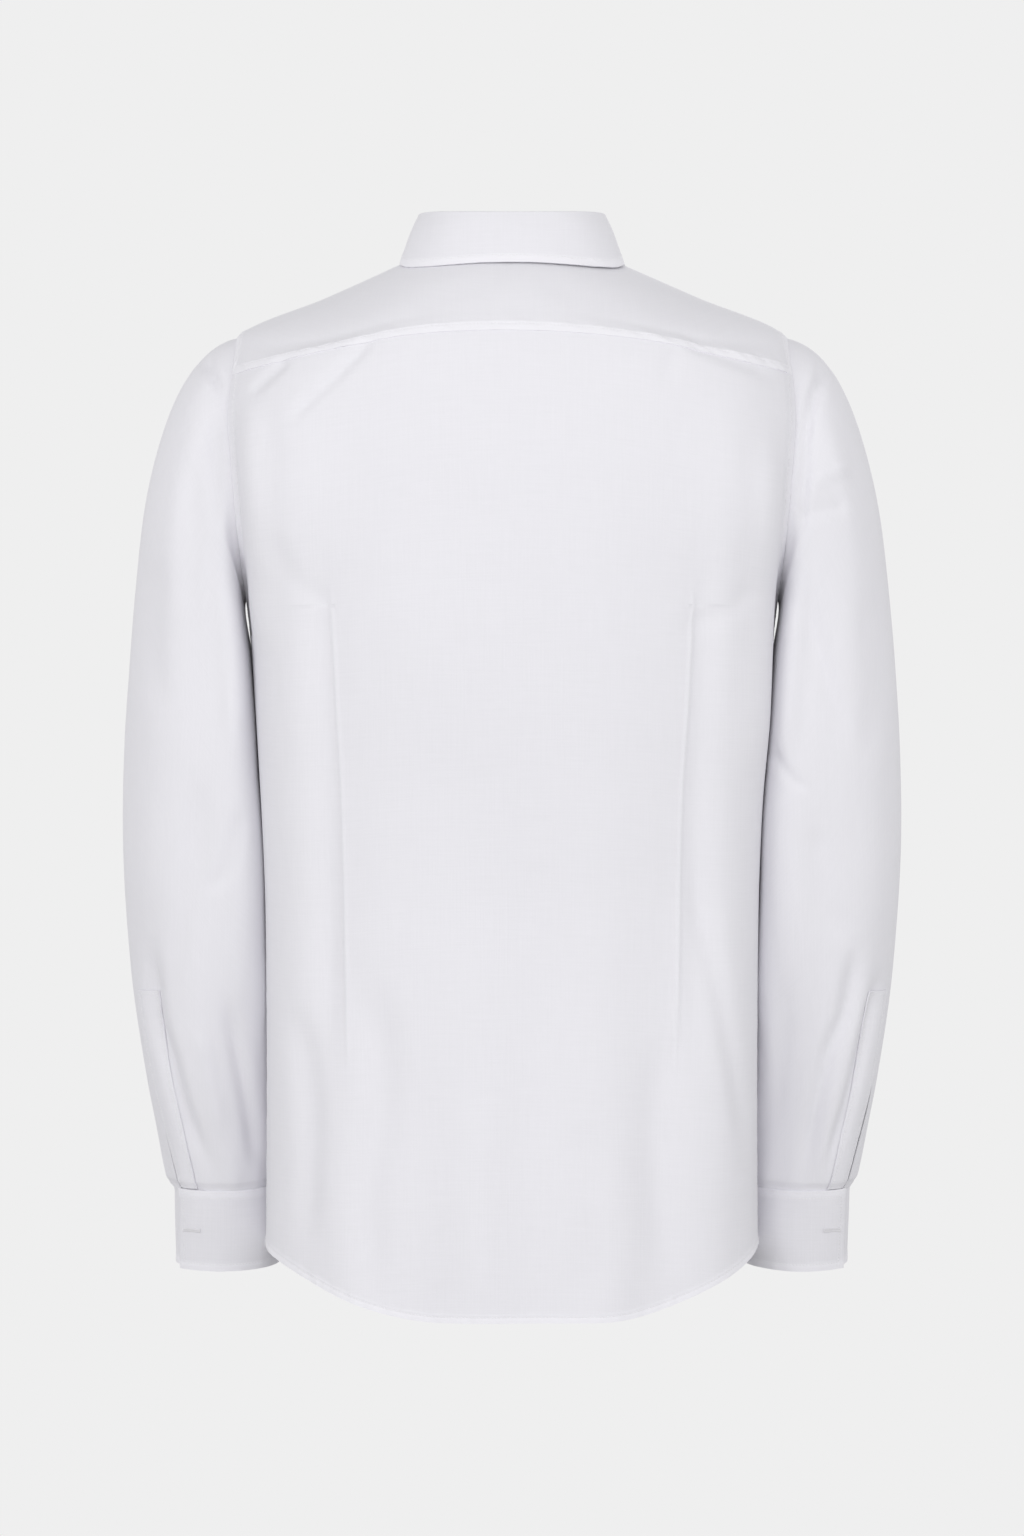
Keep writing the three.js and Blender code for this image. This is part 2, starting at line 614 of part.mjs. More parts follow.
// A point of the left cuff: `along` is from its top edge down.
function cuffPoint(turnDegrees, along, off) {
  const share = along / CUFF.height;
  const across = new THREE.Vector3(1, 0, CUFF.tipOut).normalize();
  const rear = new THREE.Vector3(0, 1, CUFF.tipFore).normalize();
  const axis = across.clone().cross(rear).negate();
  const lifted = CUFF.standOff * (1 - smooth(CUFF.freeTurn, CUFF.standOffEnd, turnDegrees));
  const tuck = CUFF.tuck * smooth(CUFF.tuckStart, CUFF.tuckEnd, turnDegrees);
  const size = off + lifted - tuck - CUFF.taper * share;
  const turn = turnDegrees * RAD;
  return new THREE.Vector3(CUFF.out, CUFF.fore, -ARM[ARM.length - 1].drop)
    .addScaledVector(axis, along)
    .addScaledVector(across, (CUFF.width + size) * Math.cos(turn))
    .addScaledVector(rear, (CUFF.depth + size) * Math.sin(turn));
}

function addCuff(side) {
  const face = (off) => Array.from({ length: CUFF.rows }, (_, j) => (
    Array.from({ length: CUFF.columns + 1 }, (__, i) => {
      const turn = mix(CUFF.underTurn, CUFF.freeTurn, i / CUFF.columns);
      return cuffPoint(turn, (CUFF.height * j) / (CUFF.rows - 1), off);
    })
  ));
  const faces = { outer: face(0), inner: face(-WALL) };
  addCloth(`cuff_${side}`, side === 'right' ? mirrored(faces) : faces);
}

function buttonGeometry() {
  const outline = new THREE.Shape();
  const ringTurns = Array.from({ length: BUTTON.sides }, (_, k) => (2 * Math.PI * k) / BUTTON.sides);
  outline.setFromPoints(ringTurns.map((t) => (
    new THREE.Vector2(BUTTON.radius * Math.cos(t), BUTTON.radius * Math.sin(t))
  )));
  const quarters = [0, 1, 2, 3].map((k) => (k * Math.PI) / 2);
  for (const quarter of quarters) {
    const middle = quarter + Math.PI / 4;
    const hole = new THREE.Path();
    hole.setFromPoints(quarters.map((t) => new THREE.Vector2(
      BUTTON.holeReach * Math.cos(middle) + BUTTON.hole * Math.cos(t),
      BUTTON.holeReach * Math.sin(middle) + BUTTON.hole * Math.sin(t),
    )));
    outline.holes.push(hole);
  }
  return new THREE.ExtrudeGeometry(outline, { depth: BUTTON.thick, bevelEnabled: false });
}

// A button that lies on the cloth at a point, facing along the cloth's normal.
function addButton(name, point, normal, off) {
  const mesh = new THREE.Mesh(buttonGeometry(), material(RESIN));
  mesh.name = name;
  mesh.position.copy(point).addScaledVector(normal, off);
  mesh.quaternion.setFromUnitVectors(new THREE.Vector3(0, 0, 1), normal);
  shirt.add(mesh);
}

function addButtons() {
  for (let k = 0; k < FRONT_BUTTONS.count; k += 1) {
    const down = FRONT_BUTTONS.first + k * FRONT_BUTTONS.spacing;
    const off = SEAM + TRIM_WALL + BUTTON.clear;
    addButton(`button_front_${k + 1}`, bodyPoint(FRONT, down), bodyNormal(FRONT, down), off);
  }
  const band = (turn) => standPoint(turn, 0.5);
  const rise = standPoint(FRONT, 0).sub(standPoint(FRONT, 1));
  const bandFace = new THREE.Vector3(-1, 0, 0).cross(rise).negate().normalize();
  addButton('button_collar', band(FRONT), bandFace, BUTTON.clear);
  for (const side of ['left', 'right']) {
    const turn = CUFF_BUTTON.turn + 360;
    const point = cuffPoint(turn, CUFF_BUTTON.along, 0);
    const normal = cuffPoint(turn, CUFF_BUTTON.along, 1).sub(point).normalize();
    if (side === 'right') {
      point.x *= -1;
      normal.x *= -1;
    }
    addButton(`button_cuff_${side}`, point, normal, BUTTON.clear);
  }
}

addBack();
addYoke();
addFronts();
addCollarStand();
addCloth('collar_fall', gridLayer(collarGrid(), COLLAR_WALL / 2, COLLAR_WALL));
addSleeve('left', FOLDS_LEFT);
addSleeve('right', FOLDS_RIGHT);
addCuff('left');
addCuff('right');
addButtons();

export default shirt;
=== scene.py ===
"""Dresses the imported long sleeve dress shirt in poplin, seams, stitches and buttons.

Tables are in millimetres and meshes in metres, in the frame of the CAD model: +Z is up, the
front of the shirt faces -Y and +X is the wearer's left.
"""
import math

import bmesh
import bpy
import numpy as np
from bpy.props import FloatProperty, FloatVectorProperty, PointerProperty
from mathutils import Matrix, Vector


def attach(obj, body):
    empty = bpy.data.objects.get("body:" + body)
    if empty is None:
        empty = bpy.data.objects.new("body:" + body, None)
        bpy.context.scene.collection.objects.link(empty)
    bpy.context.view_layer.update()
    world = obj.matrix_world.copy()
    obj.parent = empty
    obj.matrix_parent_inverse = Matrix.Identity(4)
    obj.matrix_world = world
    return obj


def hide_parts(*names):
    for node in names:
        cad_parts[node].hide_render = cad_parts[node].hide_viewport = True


bl_info = {
    "name": "Long sleeve dress shirt",
    "version": (1, 0, 0),
    "blender": (4, 5, 0),
    "location": "3D View > Sidebar > Shirt",
    "description": "Dresses the packed shirt in poplin with its seams, stitches and buttons",
    "category": "Object",
}

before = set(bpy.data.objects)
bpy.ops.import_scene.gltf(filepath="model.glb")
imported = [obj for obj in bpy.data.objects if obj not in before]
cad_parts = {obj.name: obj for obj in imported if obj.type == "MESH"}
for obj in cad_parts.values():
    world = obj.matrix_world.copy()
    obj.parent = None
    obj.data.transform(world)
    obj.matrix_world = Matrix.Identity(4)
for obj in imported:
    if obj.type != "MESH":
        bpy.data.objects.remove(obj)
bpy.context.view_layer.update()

MM = 0.001
RAD = math.pi / 180
BODY_NAME = "root"
CLOTH_SLOT = "white_poplin"
RESIN_SLOT = "button_resin"


def table(columns, rows):
    """Sizes as one array for each named column."""
    return dict(zip(columns.split(), np.array(rows, float).T))


# The forms below are the same as those of the CAD model. Rings of the body, where `down` counts
# along the cloth from the neck and `sag` is how far a ring drops between side and middle.
BODY = table("down z_back z_side z_front sag half back front square", [
    (0, 1, 3, -78, 0, 68, 60, 74, 2.1),
    (45, -20, -26, -88, 6, 134, 85, 88, 2.15),
    (90, -41, -55.5, -100, 13, 200, 101, 100, 2.2),
    (130, -58, -88, -122, 3, 215, 111, 114, 2.3),
    (170, -100, -125, -155, 0, 222, 119, 127, 2.4),
    (215, -160, -170, -190, 0, 222, 123, 135, 2.45),
    (300, -250, -250, -252, 0, 193, 121, 137, 2.45),
    (370, -320, -320, -320, 0, 187, 115, 136, 2.45),
    (445, -395, -395, -395, 0, 182.3, 105, 130, 2.4),
    (530, -480, -480, -480, 0, 179.5, 98, 124, 2.4),
    (640, -590, -590, -590, 0, 178.2, 103, 126, 2.35),
    (740, -690, -690, -690, 0, 178.6, 110, 129, 2.35),
    (830, -780, -780, -780, 0, 179.5, 113, 131, 2.35),
])
RING_COLUMNS = ("z_back", "z_side", "z_front", "sag", "half", "back", "front", "square")
STRAIGHT_DROP = 50
ARMHOLE = table("down out", [
    (60, 199), (90, 200), (122, 201.5), (165, 204), (215, 200), (260, 196.3), (300, 193), (340, 190),
])
ARMHOLE_WIDEST = 165
ARMHOLE_STEPS = 28
UNDERARM = 325
YOKE_BACK_STEP = 4
YOKE_FRONT_STEP = 3
YOKE_NECK_TURN = 106 * RAD
YOKE_BACK_SHARE = 0.6
HEM = {"ring": 740, "side": -716, "back": -763.5, "front": -752, "straight": 0.31, "bend": 1.9,
       "aside": 6.5}
HEM_STITCH = 4.2
HEM_FOLD = (5.5, 0.55, HEM_STITCH, 0.2)      # its band, rise, stitch line and puckers
HEM_FINE = (0.4, 0.9, 1.6, 3, 4.4, 5.2, 6, 7, 9)      # closer rows of the mesh, from the edge up
SEAM = 0.3
SIDE_SEAM_TURN = SEAM / 2 / 125      # half a seam, where the body's side bends round 125 mm
SIDE = math.pi / 2
FRONT = math.pi
DART_SHARE = 0.42
DART_TOP, DART_BOTTOM = 262, 655
# The dart's ridge and the trough on each side of it: height, place beside the line and width.
DART_LINES = ((0.8, 0, 1.7), (-1.5, 10, 9), (-0.5, -8, 8))
# How much fuller the cloth is beside the side seams, and where.
CORNER_FULL, CORNER_OUT, CORNER_WIDE = 8, 160, 27
PLACKET_HALF = 16
LAYER_DROP = 2.1          # how far the right front lies under the left one
PLACKET_RISE = 1.5
STAND = {"z_back": 27, "z_side": 30, "z_front": -50, "sag": 0, "half": 65.5, "back": 57, "front": 66,
         "square": 2.45}
STAND_OVER, STAND_UNDER, STAND_RAMP = 12, 14, 22
STAND_CLEAR = 0.7
COLLAR_ROLL = table("out up", [(-0.75, 1.2), (-0.6, 2.6), (0.9, 4), (2.6, 3.6), (3.4, 2)])
COLLAR_EDGE = table("at turn down off", [
    (0, 0, 20, 2.2), (0.3, 50, 17, 2.0), (0.5, 88, 8, 2.1), (0.7, 118, 19, 4),
    (0.75, 127.6, 21.4, 4.3), (0.8, 136.4, 25.4, 4.6), (0.85, 144.9, 32.4, 4.8),
    (0.9, 153.6, 45.6, 4.9), (0.95, 162.7, 70.5, 5), (1, 167.5, 104, 5),
])
COLLAR_GAP_TURN = 4.5 * RAD
ARM = table("drop out fore width depth tip_out tip_fore twist full", [
    (290, 234.7, -12, 44.8, 66, 0, 0, 0, 0.08),
    (350, 234.8, -14, 49, 62, 0, -0.05, 0, 0.12),
    (430, 233.4, -20, 51.6, 56, 0, -0.1, 0, 0.13),
    (510, 229.8, -31, 50.7, 51, -0.05, -0.12, 0, 0.12),
    (590, 223.1, -45, 46.9, 47, -0.1, -0.12, 5, 0.08),
    (645, 216.3, -56.5, 43.7, 45, -0.08, -0.12, 10, 0.02),
    (675, 213, -60.5, 41.2, 42.2, -0.01, -0.12, 12.86, 0),
])
ARM_COLUMNS = ("out", "fore", "width", "depth", "tip_out", "tip_fore", "twist", "full")
PRESSED, PRESSED_FADE = 0.16, (520, 645)    # how full the sleeve's rear corner lies against the body
CAP = {"top": (186, 42, 230), "under": (12, 14, 42), "swell": 22}   # out, down and end
SLIT_TURN = 2 * 2 * math.pi / ARMHOLE_STEPS
SLIT_TOP, SLIT_OPENS = 560, 60
SLIT_GAP = {"left": 1.2, "right": 2.4}
CUFF = {"height": 60, "out": 212.6, "fore": -61, "tip_out": -0.01, "tip_fore": -0.12, "width": 40.4,
        "depth": 41.4, "taper": 0.6, "free": 38.6, "under": 440, "stand_off": 1.5,
        "stand_off_end": 80, "tuck": 4.6, "tuck_start": 300, "tuck_end": 396}
TRIM_THICK, TRIM_STITCH = 1.1, 2.4      # of the placket strips
SLEEVE_PLACKET = {"top": 530, "width": 2 * 2 * math.pi / ARMHOLE_STEPS, "rise": 1.5}
BUTTON = {"radius": 5.5, "thick": 2.2, "hole": 0.9, "hole_reach": 2.4, "clear": 0.7}
FRONT_BUTTONS = {"first": 160, "spacing": 88, "count": 6}
CUFF_BUTTON = {"turn": 58, "along": 30}
BUTTONHOLE_LONG, BUTTONHOLE_PITCH = 14.5, 0.55

# Creases, each a line of x and z places with its width and its depth, which is below zero for a
# trough. The rear ones lie where the photograph shows them, and the front has similar ones.
REAR_CREASES = [
    ([(160, -77), (172, -88), (187, -102)], 5.5, -2.6),
    ([(99, -63), (123, -87), (144, -107), (158, -124)], 6, -2.8),
    ([(-122, -64), (-150, -75), (-189, -88)], 7, -2.2),
    ([(-118, -68), (-108, -96)], 9, -1),
    ([(187, -104), (184, -160), (179, -215), (174, -290)], 14, 5.5),
    ([(-183, -128), (-182, -190), (-178, -240), (-173, -320), (-169, -390)], 14, 4.5),
    ([(137, -200), (131, -330), (131, -470), (136, -600)], 13, -2),
    ([(-136, -180), (-134, -300), (-131, -440), (-136, -580)], 13, -1.7),
    ([(98, -520), (94, -600), (103, -680), (100, -756)], 17, -4.6),
    ([(-50, -620), (-58, -700), (-52, -760)], 19, -3.2),
    ([(-130, -440), (-148, -550), (-166, -660)], 8, -2.6),
    ([(152, -540), (143, -630), (148, -716)], 11, -3.2),
    ([(-108, -560), (-104, -640), (-112, -740)], 16, -2.4),
    ([(20, -600), (26, -690), (18, -762)], 20, 1.4),
    ([(-4, -8), (30, -28), (76, -40)], 12, -0.8),
    ([(-12, -14), (-60, -36), (-96, -44)], 13, -0.9),
    ([(170, -200), (150, -236), (128, -256)], 9, -1),
    ([(-168, -236), (-150, -258), (-118, -270)], 9, -1.1),
]
FRONT_CREASES = [
    ([(62, -128), (104, -158), (150, -178)], 11, -1.8),
    ([(-58, -132), (-98, -170), (-148, -196)], 12, -1.6),
    ([(176, -236), (142, -262), (96, -276)], 9, -2),
    ([(-178, -222), (-146, -256), (-104, -264)], 8, -2.2),
    ([(180, -262), (150, -300), (120, -322)], 8, -1.3),
    ([(188, -112), (186, -165), (181, -225)], 10, 2.4),
    ([(-188, -116), (-187, -170), (-182, -232)], 10, 2.2),
    ([(100, -330), (108, -460), (98, -600)], 18, -2),
    ([(-92, -300), (-100, -430), (-112, -590)], 17, -2.2),
    ([(60, -520), (54, -630), (62, -748)], 17, -1.9),
    ([(-50, -540), (-58, -640), (-54, -744)], 18, -1.7),
    ([(138, -560), (128, -640), (132, -722)], 13, -2.2),
    ([(-142, -520), (-134, -620), (-138, -720)], 12, -2),
    ([(20, -196), (44, -204), (66, -200)], 6, -0.8),
    ([(-20, -290), (-42, -284), (-62, -292)], 6, -0.8),
    ([(20, -372), (40, -380), (58, -376)], 6, -0.7),
    ([(-20, -462), (-46, -456), (-64, -462)], 7, -0.8),
]
LEFT_SLEEVE_REAR = [
    ([(226, -72), (213, -90), (200, -106)], 5.5, -4),
    ([(214, -118), (212, -160), (209, -205)], 8, -2),
    ([(264, -500), (261, -545), (250, -582), (240, -622), (220, -668)], 8, -5),
    ([(208, -540), (198, -590), (193, -622), (188, -668)], 7, -4),
    ([(257, -215), (261, -270), (256, -330)], 14, -2.2),
    ([(206, -170), (204, -235), (201, -310), (199, -372)], 10, 5),
    ([(232, -150), (228, -200), (236, -262)], 11, -1.2),
    ([(226, -380), (234, -450), (246, -520)], 11, -1.9),
    ([(196, -400), (205, -440), (222, -462)], 8, -1.6),
    ([(228, -560), (220, -600), (212, -640)], 8, 1.8),
]
RIGHT_SLEEVE_REAR = [
    ([(228, -78), (215, -108), (206, -140)], 6, -4.6),
    ([(210, -120), (209, -160), (206, -206)], 6, -3.4),
    ([(210, -172), (226, -160), (246, -152)], 6, 1.8),
    ([(205, -190), (222, -183), (243, -180)], 7, -2),
    ([(205, -180), (203, -250), (199, -320), (196, -372)], 10, 5),
    ([(206, -240), (222, -290), (243, -356)], 9, -2.2),
    ([(188, -354), (199, -374), (214, -386)], 5, -1.9),
    ([(250, -500), (244, -545), (231, -578), (221, -625), (214, -668)], 8, -4.6),
    ([(268, -520), (256, -570), (245, -614), (230, -668)], 5.5, -4),
    ([(216, -410), (226, -460), (246, -500)], 11, -1.8),
    ([(258, -240), (262, -310), (257, -370)], 13, -1.8),
    ([(200, -520), (196, -580), (192, -640)], 9, -1.8),
]
SLEEVE_FRONT = [
    ([(206, -150), (222, -200), (238, -262)], 12, -2),
    ([(202, -330), (226, -346), (256, -344)], 8, -2),
    ([(196, -378), (222, -394), (254, -398)], 7, -2.8),
    ([(198, -420), (226, -428), (252, -420)], 7, -2.3),
    ([(204, -470), (214, -540), (206, -620)], 10, -2.6),
    ([(236, -470), (236, -560), (222, -664)], 9, -3.4),
    ([(196, -560), (192, -620), (190, -664)], 7, -3),
]


# The stage, in metres. Each soft light has its place, its size and its power.
FLOOR_LEVEL = -1100      # in millimetres, as the mesh is made
AIR_STRENGTH = 0.64
LIGHT_AIM = (0, 0, -0.35)
CAMERA_PLACE, CAMERA_LENS = (0, 4, -0.3694), 128.43
LIGHTS = [
    ("rear_key", (0.4, 3.7, 1.0), 1.5, 38),
    ("rear_left", (2.6, 2.6, 0.3), 1.4, 20),
    ("rear_right", (-2.6, 2.6, 0.3), 1.4, 21),
    ("front_key", (-0.4, -3.7, 1.0), 1.5, 32),
    ("front_left", (2.6, -2.6, 0.3), 1.4, 15),
    ("front_right", (-2.6, -2.6, 0.3), 1.4, 15),
]


# Surfaces, as in the CAD model

def curve(sizes, axis, name, at):
    """A smooth curve through one column of a table, without overshoot between its rows."""
    x, y = sizes[axis], sizes[name]
    at = np.asarray(at, float)
    rise = np.diff(y) / np.diff(x)
    before, after = rise[:-1], rise[1:]
    total = np.where(before * after > 0, before + after, 1)
    middle = np.where(before * after > 0, 2 * before * after / total, 0)
    slope = np.concatenate([rise[:1], middle, rise[-1:]])
    i = np.clip(np.searchsorted(x, at) - 1, 0, len(x) - 2)
    h = x[i + 1] - x[i]
    t = (at - x[i]) / h
    return (y[i] * (2 * t**3 - 3 * t**2 + 1) + slope[i] * h * (t**3 - 2 * t**2 + t)
            + y[i + 1] * (3 * t**2 - 2 * t**3) + slope[i + 1] * h * (t**3 - t**2))


def smooth(start, end, value):
    """0 before the start, 1 after the end, and a soft step between."""
    t = np.clip((np.asarray(value, float) - start) / (end - start), 0, 1)
    return t * t * (3 - 2 * t)


def mix(a, b, t):
    return a + (b - a) * t


def unit(vectors):
    return vectors / np.maximum(np.linalg.norm(vectors, axis=-1, keepdims=True), 1e-9)


def ring_point(ring, turn):
    """A point of a ring whose back and front have their own depth and height."""
    s, c = np.sin(turn), np.cos(turn)
    bend = 2 / ring["square"]
    deep = np.where(c >= 0, ring["back"], -ring["front"])
    low = np.where(c >= 0, ring["z_back"], ring["z_front"])
    x = np.sign(s) * ring["half"] * np.abs(s) ** bend
    y = deep * np.abs(c) ** bend
    z = ring["z_side"] * s * s + low * c * c - 4 * ring["sag"] * s * s * c * c
    return np.stack(np.broadcast_arrays(x, y, z), -1)


def body_ring(down):
    return {name: curve(BODY, "down", name, down) for name in RING_COLUMNS}


def body_point(turn, down):
    return ring_point(body_ring(down), turn)


def body_normal(turn, down):
    step_turn, step_down = 0.004, 0.5
    round_it = body_point(turn + step_turn, down) - body_point(turn - step_turn, down)
    fall = body_point(turn, down + step_down) - body_point(turn, down - step_down)
    return unit(np.cross(round_it, fall))


def turn_at(out, down, front):
    """The turn, on the front or the back, where the body is `out` from the middle."""
    ring = body_ring(down)
    share = np.clip(np.abs(out) / ring["half"], 0, 1) ** (ring["square"] / 2)
    turn = np.arcsin(share) * np.where(np.asarray(out) < 0, -1, 1)
    return np.where(front, FRONT - turn, turn)


def crossing(value, outside, inside):
    for _ in range(40):
        middle = (outside + inside) / 2
        if value(middle) > 0:
            inside = middle
        else:
            outside = middle
    return (outside + inside) / 2


def armhole(step, shift):
    """Turn and down at a step round the armhole, with its edge moved out by a shift."""
    def reach(down):
        return curve(BODY, "down", "half", down) - curve(ARMHOLE, "down", "out", down) - shift
    top = crossing(reach, ARMHOLE["down"][0], ARMHOLE_WIDEST)
    bottom = crossing(reach, ARMHOLE["down"][-1], ARMHOLE_WIDEST)
    step = np.mod(np.asarray(step, float), ARMHOLE_STEPS)
    down = mix(top, bottom, (1 - np.cos(2 * math.pi * step / ARMHOLE_STEPS)) / 2)
    out = curve(ARMHOLE, "down", "out", down) + shift
    return turn_at(out, down, step > ARMHOLE_STEPS / 2), down


def hem_down(turn):
    ring = body_ring(HEM["ring"])
    out = ring_point(ring, turn)[..., 0] / ring["half"]
    out = np.abs(out + HEM["aside"] / ring["half"] * (1 - out * out))
    low = np.where(np.cos(turn) >= 0, HEM["back"], HEM["front"])
    rise = np.maximum((out - HEM["straight"]) / (1 - HEM["straight"]), 0) ** HEM["bend"]
    return STRAIGHT_DROP - mix(low, HEM["side"], rise)


def stand_point(turn, share):
    seam = body_point(turn, 0)
    seam[..., 2] += STAND_CLEAR
    return mix(ring_point(STAND, turn), seam, np.asarray(share)[..., None])


def level_out(points):
    """The level direction out of a line of points that runs with the turn."""
    ahead = np.gradient(points, axis=-2)
    return unit(np.stack([-ahead[..., 1], ahead[..., 0], 0 * ahead[..., 0]], -1))


def arm_point(turn, drop):
    ring = {name: curve(ARM, "drop", name, drop) for name in ARM_COLUMNS}
    flat = 0 * ring["out"]
    across = unit(np.stack([flat + 1, flat, ring["tip_out"]], -1))
    rear = unit(np.stack([flat, flat + 1, ring["tip_fore"]], -1))
    angle = turn + ring["twist"] * RAD
    middle = np.stack([ring["out"], ring["fore"], -np.asarray(drop) + flat], -1)
    size = 1 + np.where(np.cos(angle) < 0, ring["full"] * np.sin(2 * angle) ** 2, 0)
    pressed = PRESSED * (1 - smooth(*PRESSED_FADE, drop))
    size = size + np.where((np.cos(angle) < 0) & (np.sin(angle) > 0), pressed * np.sin(2 * angle) ** 4, 0)
    return (middle + across * (size * ring["width"] * np.cos(angle))[..., None]
            + rear * (size * ring["depth"] * np.sin(angle))[..., None])


def cap_point(turn, share, shift):
    """A point of the sleeve's head, from the armhole's edge to the first ring of the arm."""
    over = ((1 + np.cos(turn)) / 2)[..., None]
    share = np.asarray(share)[..., None]
    start = body_point(*armhole(turn / (2 * math.pi) * ARMHOLE_STEPS, shift))
    out, down, end_pull = (mix(a, b, over) for a, b in zip(CAP["under"], CAP["top"]))
    swell = CAP["swell"] * np.sin(turn)[..., None]
    leave = np.concatenate([out, swell, -down], -1)
    first = ARM["drop"][0] + 0 * turn
    end = arm_point(turn, first)
    arrive = (arm_point(turn, first + 1) - end) * end_pull
    s2, s3 = share**2, share**3
    return (start * (2 * s3 - 3 * s2 + 1) + leave * (s3 - 2 * s2 + share)
            + end * (3 * s2 - 2 * s3) + arrive * (s3 - s2))


def cuff_point(degrees, along, off):
    share = along / CUFF["height"]
    across = unit(np.array([1, 0, CUFF["tip_out"]]))
    rear = unit(np.array([0, 1, CUFF["tip_fore"]]))
    axis = -np.cross(across, rear)
    lifted = CUFF["stand_off"] * (1 - smooth(CUFF["free"], CUFF["stand_off_end"], degrees))
    tuck = CUFF["tuck"] * smooth(CUFF["tuck_start"], CUFF["tuck_end"], degrees)
    size = off + lifted - tuck - CUFF["taper"] * share
    turn = degrees * RAD
    middle = np.array([CUFF["out"], CUFF["fore"], -ARM["drop"][-1]])
    return (middle + axis * np.asarray(along)[..., None]
            + across * ((CUFF["width"] + size) * np.cos(turn))[..., None]
            + rear * ((CUFF["depth"] + size) * np.sin(turn))[..., None])


# Relief of the cloth

def ripple(a, b, long_a, long_b, seed):
    """Soft uneven waves over two directions, the same in each run."""
    draw = np.random.default_rng(seed)
    total = 0
    for _ in range(7):
        u, v = draw.uniform(0.45, 1.35), draw.uniform(-1.2, 1.2)
        total = total + np.sin(2 * math.pi * (a / long_a * u + b / long_b * v) + draw.uniform(0, 7))
    return total / math.sqrt(7)


def soft_line(points, pieces):
    """A short line of places drawn as a smooth one."""
    points = np.array(points, float)
    at = np.linspace(0, len(points) - 1, pieces + 1)
    knots = {"at": np.arange(len(points)), "x": points[:, 0], "z": points[:, 1]}
    return np.stack([curve(knots, "at", "x", at), curve(knots, "at", "z", at)], -1)


def creases(x, z, lines):
    """Troughs and ridges along lines, each with low lips beside it and faint at its ends."""
    total = np.zeros(np.broadcast(x, z).shape)
    for places, width, depth in lines:
        line = soft_line(places, 10)
        lengths = np.concatenate([[0], np.cumsum(np.linalg.norm(np.diff(line, axis=0), axis=1))])
        near = np.full(total.shape, np.inf)
        along = np.zeros(total.shape)
        for i in range(len(line) - 1):
            way = line[i + 1] - line[i]
            t = np.clip(((x - line[i, 0]) * way[0] + (z - line[i, 1]) * way[1]) / (way @ way), 0, 1)
            far = np.hypot(x - line[i, 0] - t * way[0], z - line[i, 1] - t * way[1])
            closer = far < near
            near = np.where(closer, far, near)
            along = np.where(closer, lengths[i] + t * (lengths[i + 1] - lengths[i]), along)
        share = along / lengths[-1]
        fade = smooth(0, 0.25, share + 0.06) * smooth(0, 0.3, 1.06 - share)
        s = (near / width) ** 2
        total += depth * fade * (1 - 0.55 * s) * np.exp(-s)
    return total


def body_relief(x, z, turn, down, strength):
    """How far the cloth of the body stands off the plain form at each place."""
    rear = smooth(0, 0.35, np.cos(turn))
    fore = smooth(0, 0.35, -np.cos(turn))
    low = smooth(330, 700, down)
    waves = ripple(x, z, 95, 520, 11) * (0.5 + 1.5 * low) + ripple(x, z, 210, 260, 12) * 0.9
    front_waves = ripple(x, z, 88, 480, 13) * (0.5 + 1.5 * low) + ripple(x, z, 190, 240, 14) * 0.9
    off_placket = smooth(PLACKET_HALF, PLACKET_HALF + 26, np.abs(x))
    flat = CORNER_FULL * np.exp(-((np.abs(x) - CORNER_OUT) / CORNER_WIDE) ** 2) * smooth(120, 260, down)
    flat = flat * (1 - 0.5 * smooth(500, 760, down))
    fall = rear * (creases(x, z, REAR_CREASES) + waves + flat)
    fall = fall + fore * off_placket * (creases(x, z, FRONT_CREASES) + front_waves + 0.6 * flat)
    out = curve(ARMHOLE, "down", "out", np.clip(down, 60, 340))
    # The cloth lies plain along the armhole and the top of the side seam under it.
    beside_armhole = smooth(0.5, 9, out - np.abs(x))
    beside_seam = smooth(0.02, 0.2, np.abs(np.cos(turn)))
    beside_seam = 1 - (1 - beside_seam) * smooth(360, UNDERARM, down)
    near_armhole = np.where(down < UNDERARM, beside_armhole, beside_seam)
    return fall * near_armhole * smooth(0, 14, down) * strength


def edge_lengths(grid, edge):
    """How far each point of a grid is from one of its edges, along the cloth."""
    g = {"top": grid, "bottom": grid[::-1], "left": grid.swapaxes(0, 1),
         "right": grid[:, ::-1].swapaxes(0, 1)}[edge]
    steps = np.linalg.norm(np.diff(g, axis=0), axis=-1)
    far = np.concatenate([np.zeros((1, g.shape[1])), np.cumsum(steps, axis=0)])
    return {"top": far, "bottom": far[::-1], "left": far.T, "right": far.T[:, ::-1]}[edge]


def edge_relief(grid, edge, band=6.0, rise=0.5, stitch=None, pucker=0.12, seed=1):
    """A turned edge: a band that stands proud, a sunk stitch line and small puckers."""
    far = edge_lengths(grid, edge)
    other = "left" if edge in ("top", "bottom") else "top"
    along = edge_lengths(grid, other)
    relief = rise * (1 - smooth(band - 0.6, band + 0.9, far))
    if stitch is not None:
        relief = relief - 0.28 * np.exp(-((far - stitch) / 0.8) ** 2)
    waves = ripple(along, far, 17, 60, seed) + 0.6 * ripple(along, far, 8.5, 40, seed + 1)
    return relief + pucker * waves * np.exp(-((far - band * 0.7) / (band * 0.8)) ** 2)


def joined_rows(grid):
    return np.linalg.norm(grid[:, 0] - grid[:, -1], axis=-1) < 1e-3


